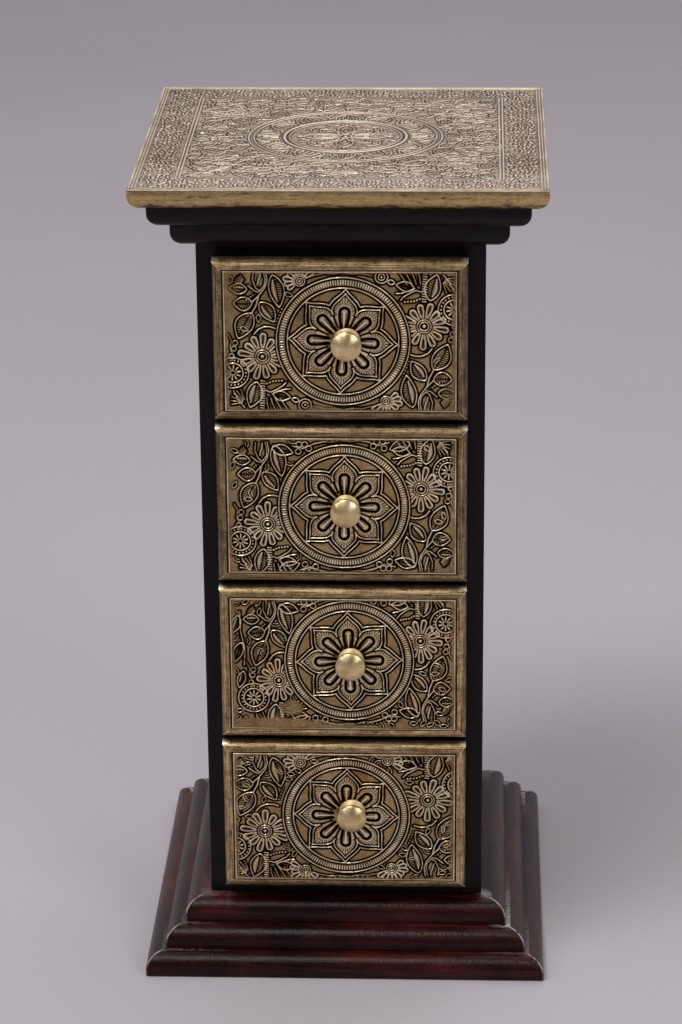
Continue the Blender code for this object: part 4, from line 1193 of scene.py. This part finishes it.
def edge_brass(name, top=False):
    """Plain brass strip with long draw lines, stains and rubbed ends."""
    m = Nodes(name)
    strip = m.attribute("strip", "Vector")
    along = m.coords((0.035, 1.6, 1.0), strip)  # long streaks
    crossed = m.coords((1.5, 0.06, 1.0), strip)  # fine lines across
    spots = m.coords((0.22, 0.30, 1.0), strip)
    streak = m.noise(along, 1.0, 6.0, 0.62)
    line = m.noise(crossed, 1.0, 5.0, 0.7)
    stain = m.noise(spots, 0.75, 6.0, 0.66, 0.4)
    fleck = m.noise(m.coords((0.62, 1.0, 1.0), strip), 1.0, 4.0, 0.72)
    value = m.math("ADD", m.math("MULTIPLY", streak, 0.52 if not top else 0.42), m.math("MULTIPLY", line, 0.12 if not top else 0.12))
    value = m.math("ADD", value, m.math("MULTIPLY", stain, 0.22 if top else 0.26))
    value = m.math("ADD", value, m.math("MULTIPLY", fleck, 0.24 if top else 0.28))
    if not top:
        value = m.math("SUBTRACT", m.math("MULTIPLY", value, 2.3), 0.725)
    if top:
        colour = m.ramp(
            value,
            [
                (0.37, (0.24, 0.145, 0.060)),
                (0.47, (0.47, 0.320, 0.136)),
                (0.56, (0.64, 0.455, 0.206)),
                (0.70, (0.84, 0.65, 0.36)),
            ],
        )
        arc = m.new("ShaderNodeSeparateXYZ")
        m.link(strip, arc.inputs[0])
        # dark stains, darker still towards the lower edge, and long scratches over the face
        low = m.ramp(m.math("MULTIPLY", arc.outputs[1], 0.05), [(0.28, 1.0), (0.52, 0.0)])
        darkening = m.math("ADD", m.noise(m.coords((0.11, 0.42, 1.0), strip), 1.0, 7.0, 0.7), m.math("MULTIPLY", low, 0.17))
        colour = m.mix(m.ramp(darkening, [(0.56, 0.0), (0.66, 0.92)]), colour, (0.040, 0.022, 0.013))
        scratch = m.noise(m.coords((0.05, 3.4, 1.0), strip), 1.0, 5.0, 0.7)
        colour = m.mix(m.ramp(scratch, [(0.62, 0.0), (0.70, 0.70)]), colour, (0.085, 0.050, 0.026))
        pits = m.noise(m.coords((0.75, 0.95, 1.7), strip), 1.0, 3.0, 0.7)
        colour = m.mix(m.ramp(pits, [(0.62, 0.0), (0.70, 0.85)]), colour, (0.10, 0.058, 0.028))
    else:
        # shade: the top strip painted a little lighter, a painted highlight from the light above
        shade = m.attribute("shade")
        value = m.math("ADD", value, m.math("MULTIPLY", m.math("SUBTRACT", shade, 0.5), 0.16))
        colour = m.ramp(
            value,
            [
                (0.36, (0.070, 0.035, 0.014)),
                (0.47, (0.20, 0.117, 0.049)),
                (0.57, (0.35, 0.221, 0.097)),
                (0.68, (0.58, 0.400, 0.192)),
                (0.80, (0.86, 0.655, 0.365)),
            ],
        )
        copper = m.noise(m.coords((0.02, 0.9, 1.0), strip), 1.3, 3.0, 0.5)
        colour = m.mix(m.ramp(copper, [(0.53, 0.0), (0.68, 0.50)]), colour, (0.24, 0.125, 0.060))
        # across the strip the brass is painted lighter at the front and darker at the back, a painted highlight and
        # shade of the round-over, broken up by the stains
        arc = m.new("ShaderNodeSeparateXYZ")
        m.link(strip, arc.inputs[0])
        cross_pattern = m.ramp(m.math("MULTIPLY", m.math("ADD", arc.outputs[1], m.math("MULTIPLY", stain, 3.0)), 0.1), [(0.40, 0.50), (0.74, 1.10)])
        colour = m.mix(1.0, colour, cross_pattern, "MULTIPLY")
        colour = m.mix(1.0, colour, m.attribute("tarnish"), "MULTIPLY")
        wear = m.attribute("wear")
        broken = m.math("ADD", wear, m.math("MULTIPLY", m.math("SUBTRACT", fleck, 0.5), 1.5))
        colour = m.mix(m.ramp(broken, [(0.34, 0.0), (0.78, 0.85)]), colour, (0.88, 0.79, 0.60))
        # painted shade in the groove by the sheet and under the lapped ends
        painted_strip_shade = m.attribute("painted_strip_shade")
        colour = m.mix(m.ramp(painted_strip_shade, [(0.10, 0.0), (0.65, 0.92)]), colour, (0.030, 0.018, 0.011))
    m.feed("Base Color", colour)
    rough = m.math("ADD", m.math("MULTIPLY", line, 0.20), m.math("MULTIPLY", stain, 0.30))
    m.feed("Roughness", m.math("ADD", rough, 0.12 if top else 0.16))
    m.set(Metallic=0.9 if top else 0.72)
    m.bump(m.math("ADD", m.math("MULTIPLY", line, 0.3), m.math("ADD", streak, m.math("MULTIPLY", stain, 0.8))), 0.40, 0.0003)
    return m.material


def knob_brass():
    """Turned brass: the lathe's fine rings stretch the lights along the knob."""
    m = Nodes("turned_knob_brass")
    place_ = m.coords()
    cloud = m.noise(place_, 150.0, 4.0, 0.55)
    scratch = m.noise(m.coords((1, 1, 6)), 700.0, 4.0, 0.65)
    colour = m.ramp(cloud, [(0.30, (0.63, 0.45, 0.205)), (0.52, (0.84, 0.655, 0.350)), (0.72, (0.93, 0.79, 0.51))])
    spot = m.noise(place_, 420.0, 3.0, 0.6)
    colour = m.mix(m.ramp(spot, [(0.62, 0.0), (0.72, 0.50)]), colour, (0.34, 0.215, 0.10))
    # fine pits on the head; the stem is dull, and painted paler as a painted sheen where the light catches it
    pits = m.noise(place_, 1100.0, 3.0, 0.7)
    colour = m.mix(m.ramp(pits, [(0.55, 0.0), (0.67, 0.50)]), colour, (0.42, 0.285, 0.14))
    stem = m.attribute("stem")
    colour = m.mix(m.math("MULTIPLY", stem, 0.6), colour, (0.90, 0.71, 0.40))
    m.feed("Base Color", colour)
    rough = m.math("ADD", m.math("MULTIPLY", scratch, 0.18), m.math("ADD", m.math("MULTIPLY", cloud, 0.16), 0.20))
    m.feed("Roughness", m.math("ADD", rough, m.math("MULTIPLY", stem, 0.20)))
    m.feed("Metallic", m.math("SUBTRACT", 1.0, m.math("MULTIPLY", stem, 0.18)))
    m.set(Anisotropic=0.45, Anisotropic_Rotation=0.25)
    rings = m.new("ShaderNodeTangent", direction_type="RADIAL", axis="Y")
    m.link(rings.outputs[0], m.shader.inputs["Tangent"])
    m.bump(m.math("ADD", m.math("ADD", scratch, m.math("MULTIPLY", pits, 0.9)), m.math("MULTIPLY", cloud, 0.5)), 0.20, 0.00014)
    return m.material


def lacquered_wood(name, dark, mid, warm, specular, gloss, relief, upright=False, mitred=False, bands=1.0, worn_and_sheen=0.0, haze=1.0, peel=0.0):
    """Stained wood under lacquer; the grain runs along Z, or along each side of a mitred board."""
    m = Nodes(name)
    if mitred:
        strip = m.attribute("strip", "Vector")
        grain = m.coords((0.012, 0.24, 1.0), strip)
        fine = m.coords((0.055, 2.4, 1.0), strip)
        cross = m.coords((0.62, 0.10, 1.0), strip)
    else:
        along = (160.0, 160.0, 6.0) if upright else (6.0, 160.0, 160.0)
        grain = m.coords(along)
        fine = m.coords(tuple(v * 4.6 for v in along))
        cross = m.coords((60.0, 60.0, 900.0) if upright else (900.0, 60.0, 60.0))
    figure = m.noise(grain, 1.0, 5.0, 0.6, 0.9)
    pores = m.noise(fine, 1.0, 4.0, 0.65)
    cross_pattern = m.noise(cross, 1.0, 4.0, 0.62)
    patch = m.noise(m.coords(), 21.0, 4.0, 0.55)
    value = m.math("ADD", m.math("MULTIPLY", figure, 0.70 / bands**0.4), m.math("MULTIPLY", pores, 0.92 - 0.70 / bands**0.4))
    value = m.math("ADD", value, m.math("MULTIPLY", m.math("SUBTRACT", patch, 0.5), 0.30 * bands))
    colour = m.ramp(value, [(0.36, dark), (0.50, mid), (0.66, warm)])
    if worn_and_sheen:
        # lacquer rubbed through along the corners and the foot, painted pale there also as a painted highlight where
        # the eased corners catch the light
        rubbed_and_sheen = m.math("MULTIPLY", m.attribute("worn_and_sheen"), m.ramp(m.noise(m.coords(), 330.0, 4.0, 0.6), [(0.34, 0.0), (0.52, 1.0)]))
        colour = m.mix(m.math("MULTIPLY", rubbed_and_sheen, worn_and_sheen), colour, (0.46, 0.41, 0.40))
    m.feed("Base Color", colour)
    rough = m.math("ADD", m.math("MULTIPLY", cross_pattern, 0.24 * haze), m.math("MULTIPLY", patch, 0.16 * haze))
    m.feed("Roughness", m.math("ADD", rough, gloss))
    m.set(Specular_IOR_Level=specular)
    height = m.math("ADD", m.math("MULTIPLY", pores, 0.35), m.math("ADD", m.math("MULTIPLY", cross_pattern, 0.8), m.math("MULTIPLY", figure, 0.3)))
    if peel:
        # brushed lacquer dries with a fine uneven skin
        skin = m.noise(m.coords(), 760.0, 3.0, 0.6)
        height = m.math("ADD", height, m.math("MULTIPLY", skin, peel))
    m.bump(height, relief, 0.0008)
    return m.material


def bare_wood(name, dark, mid, pale, along):
    m = Nodes(name)
    grain = m.noise(m.coords(along), 1.0, 6.0, 0.62, 1.2)
    pores = m.noise(m.coords(tuple(v * 5.0 for v in along)), 1.0, 4.0, 0.7)
    patch = m.noise(m.coords(), 14.0, 4.0, 0.55)
    value = m.math("ADD", m.math("MULTIPLY", grain, 0.70), m.math("MULTIPLY", pores, 0.22))
    value = m.math("ADD", value, m.math("MULTIPLY", m.math("SUBTRACT", patch, 0.5), 0.24))
    m.feed("Base Color", m.ramp(value, [(0.32, dark), (0.47, mid), (0.66, pale)]))
    m.feed("Roughness", m.math("ADD", m.math("MULTIPLY", pores, 0.25), 0.50))
    m.set(Specular_IOR_Level=0.3)
    m.bump(m.math("ADD", pores, m.math("MULTIPLY", grain, 0.6)), 0.35, 0.0003)
    return m.material


def plain_steel():
    m = Nodes("screw_steel_worn")
    place_ = m.coords()
    cloud = m.noise(place_, 260.0, 5.0, 0.6)
    m.feed("Base Color", m.ramp(cloud, [(0.35, (0.20, 0.19, 0.18)), (0.55, (0.44, 0.43, 0.41)), (0.75, (0.60, 0.59, 0.57))]))
    m.feed("Roughness", m.math("ADD", m.math("MULTIPLY", cloud, 0.3), 0.22))
    m.set(Metallic=1.0)
    m.bump(cloud, 0.15, 0.0001)
    return m.material


FACE_BRASS = embossed_brass("embossed_brass_face")
TOP_BRASS = embossed_brass("embossed_brass_top", 0.55, 0.7)
STRIP_BRASS = edge_brass("edge_brass_strip")
BAND_BRASS = edge_brass("edge_brass_band", True)
KNOB_BRASS = knob_brass()
COLUMN_WOOD = lacquered_wood(
    "column_wood_grain", (0.0030, 0.0022, 0.0021), (0.0058, 0.0040, 0.0038), (0.013, 0.0075, 0.0066), 0.18, 0.14, 0.10, upright=True
)
CORNICE_WOOD = lacquered_wood(
    "cornice_wood_grain", (0.0034, 0.0022, 0.0020), (0.0085, 0.0046, 0.0041), (0.021, 0.0095, 0.0078), 0.18, 0.12, 0.18, mitred=True, worn_and_sheen=0.12
)
BASE_WOOD = lacquered_wood(
    "base_wood_grain", (0.0062, 0.0019, 0.0018), (0.026, 0.0052, 0.0046), (0.086, 0.0140, 0.0112), 0.19, 0.14, 0.32, mitred=True, bands=2.0, worn_and_sheen=0.85, haze=0.60, peel=0.80
)
CORE_WOOD = bare_wood("core_wood_grain", (0.075, 0.042, 0.024), (0.15, 0.088, 0.050), (0.22, 0.14, 0.085), (6.0, 150.0, 150.0))
BOX_WOOD = bare_wood("box_wood_grain", (0.23, 0.145, 0.080), (0.35, 0.235, 0.138), (0.45, 0.325, 0.205), (150.0, 7.0, 150.0))
STEEL = plain_steel()


def dress(node, material):
    mesh = NODES[node].data
    mesh.materials.clear()
    mesh.materials.append(material)


for node in NODES:
    if node.startswith(("side_", "back_panel", "bottom_panel", "top_panel", "divider_")):
        dress(node, COLUMN_WOOD)
    elif node.startswith("base_board") or node.startswith("cornice_board"):
        dress(node, COLUMN_WOOD)
    elif node.endswith("front_block"):
        dress(node, COLUMN_WOOD)
    elif node == "top_board":
        dress(node, CORE_WOOD)
    elif "screw" in node:
        dress(node, STEEL)
    elif node.endswith(("_side_left", "_side_right", "_back", "_bottom")):
        dress(node, BOX_WOOD)

# ----------------------------------------------------------------------------
# Build the pieces
# ----------------------------------------------------------------------------
for n in range(1, 5):
    drawer_face(n, FACE_BRASS)
    edging(n, STRIP_BRASS)
    knob(n, KNOB_BRASS)
top_sheet(TOP_BRASS)
top_edging(BAND_BRASS)
boards(BASE_WOOD, CORNICE_WOOD)


# ----------------------------------------------------------------------------
# Floor, light and camera
# ----------------------------------------------------------------------------
# the surround is pale at the sides and back and dim behind the camera
SURROUND_DIM, SURROUND_PALE = (0.10, 0.095, 0.10), (0.53, 0.51, 0.53)
SURROUND_FROM, SURROUND_TO = -0.45, 0.25


def stage_floor():
    sides, rings = 96, [0.0, 0.3, 0.6, 1.0, 1.6, 2.6, 4.0, 7.0, 12.0]
    verts, faces = [(0.0, 0.0, -0.2)], []
    for r in rings[1:]:
        for k in range(sides):
            a = 2 * math.pi * k / sides
            verts.append((1000 * r * math.cos(a), 1000 * r * math.sin(a), -0.2))
    for k in range(sides):
        faces.append((0, 1 + k, 1 + (k + 1) % sides))
    for i in range(len(rings) - 2):
        for k in range(sides):
            a, b = 1 + i * sides + k, 1 + i * sides + (k + 1) % sides
            faces.append((a, a + sides, b + sides, b))
    m = Nodes("studio_floor")
    cloud = m.noise(m.coords(), 2.2, 3.0, 0.5)
    fine = m.noise(m.coords(), 240.0, 2.0, 0.5)
    value = m.math("ADD", m.math("MULTIPLY", cloud, 0.8), m.math("MULTIPLY", fine, 0.2))
    colour = m.ramp(value, [(0.3, (0.455, 0.424, 0.452)), (0.7, (0.490, 0.457, 0.487))])
    # far out, the floor turns black and glows with the surround's colour, a painted glow that carries it over into the
    # surround behind it
    at = m.new("ShaderNodeSeparateXYZ")
    m.link(m.coords(), at.inputs[0])
    x, y = at.outputs[0], at.outputs[1]
    out = m.math("SQRT", m.math("ADD", m.math("MULTIPLY", x, x), m.math("MULTIPLY", y, y)))
    far_glow = m.span(out, 2.7, 9.0)
    m.feed("Base Color", m.mix(far_glow, colour, (0.0, 0.0, 0.0)))
    m.feed("Emission Color", m.mix(m.span(m.math("DIVIDE", y, m.math("MAXIMUM", out, 0.01)), SURROUND_FROM, SURROUND_TO), SURROUND_DIM, SURROUND_PALE))
    m.feed("Emission Strength", far_glow)
    m.feed("Specular IOR Level", m.math("MULTIPLY", m.math("SUBTRACT", 1.0, far_glow), 0.2))
    m.set(Roughness=0.75)
    floor = make_object("studio_floor", verts, faces, m.material)


stage_floor()


def softbox(name, location, target, size, energy, colour):
    data = bpy.data.lights.new(name, "AREA")
    data.shape = "RECTANGLE"
    data.size, data.size_y = size
    data.energy = energy
    data.color = colour
    obj = bpy.data.objects.new(name, data)
    obj.location = location
    obj.rotation_euler = (Vector(target) - Vector(location)).to_track_quat("-Z", "Y").to_euler()
    bpy.context.scene.collection.objects.link(obj)
    return obj


softbox("softbox_left", (-2.30, -1.95, 2.00), (0, 0, 0.25), (1.05, 1.0), 16.0, (1.0, 0.98, 1.0))
softbox("softbox_right", (2.05, -2.25, 2.00), (0, 0, 0.25), (1.2, 1.5), 31.0, (1.0, 0.99, 1.0))
softbox("softbox_front", (-0.62, -0.72, 2.30), (0, -0.15, 0.0), (1.05, 0.85), 27.0, (1.0, 0.99, 1.0))
softbox("softbox_back", (0.45, 1.60, 2.55), (0, 0.2, 0.0), (1.7, 1.2), 14.0, (1.0, 0.99, 1.0))

world = bpy.data.worlds.new("studio_world")
bpy.context.scene.world = world
world.use_nodes = True
sky = world.node_tree
direction = sky.nodes.new("ShaderNodeTexCoord")
parts = sky.nodes.new("ShaderNodeSeparateXYZ")
sky.links.new(direction.outputs["Generated"], parts.inputs[0])
dim = sky.nodes.new("ShaderNodeMapRange")
dim.interpolation_type = "SMOOTHSTEP"
for key, value in (("From Min", SURROUND_FROM), ("From Max", SURROUND_TO), ("To Min", 0.0), ("To Max", 1.0)):
    dim.inputs[key].default_value = value
sky.links.new(parts.outputs[1], dim.inputs["Value"])
shade = sky.nodes.new("ShaderNodeMix")
shade.data_type = "RGBA"
shade.inputs[6].default_value = (*SURROUND_DIM, 1.0)
shade.inputs[7].default_value = (*SURROUND_PALE, 1.0)
sky.links.new(dim.outputs["Result"], shade.inputs[0])
sky.links.new(shade.outputs[2], sky.nodes["Background"].inputs["Color"])
sky.nodes["Background"].inputs["Strength"].default_value = 1.0

bpy.context.scene.view_settings.view_transform = "Standard"

camera_data = bpy.data.cameras.new("photo_camera")
camera_data.sensor_width = 36.0
camera_data.lens = 116.93
camera_data.clip_start, camera_data.clip_end = 0.05, 60.0
camera = bpy.data.objects.new("photo_camera", camera_data)
bpy.context.scene.collection.objects.link(camera)
yaw, pitch, roll = -0.0428, 0.3706, -0.0090
forward = Vector((math.sin(yaw) * math.cos(pitch), math.cos(yaw) * math.cos(pitch), -math.sin(pitch)))
right = Vector((math.cos(yaw), -math.sin(yaw), 0.0))
up = right.cross(forward)
right_rolled = math.cos(roll) * right + math.sin(roll) * up
up_rolled = -math.sin(roll) * right + math.cos(roll) * up
turn = Matrix((right_rolled, up_rolled, -forward)).transposed()
camera.matrix_world = Matrix.Translation((0.07053, -1.74661, 0.91571)) @ turn.to_4x4()
bpy.context.scene.camera = camera
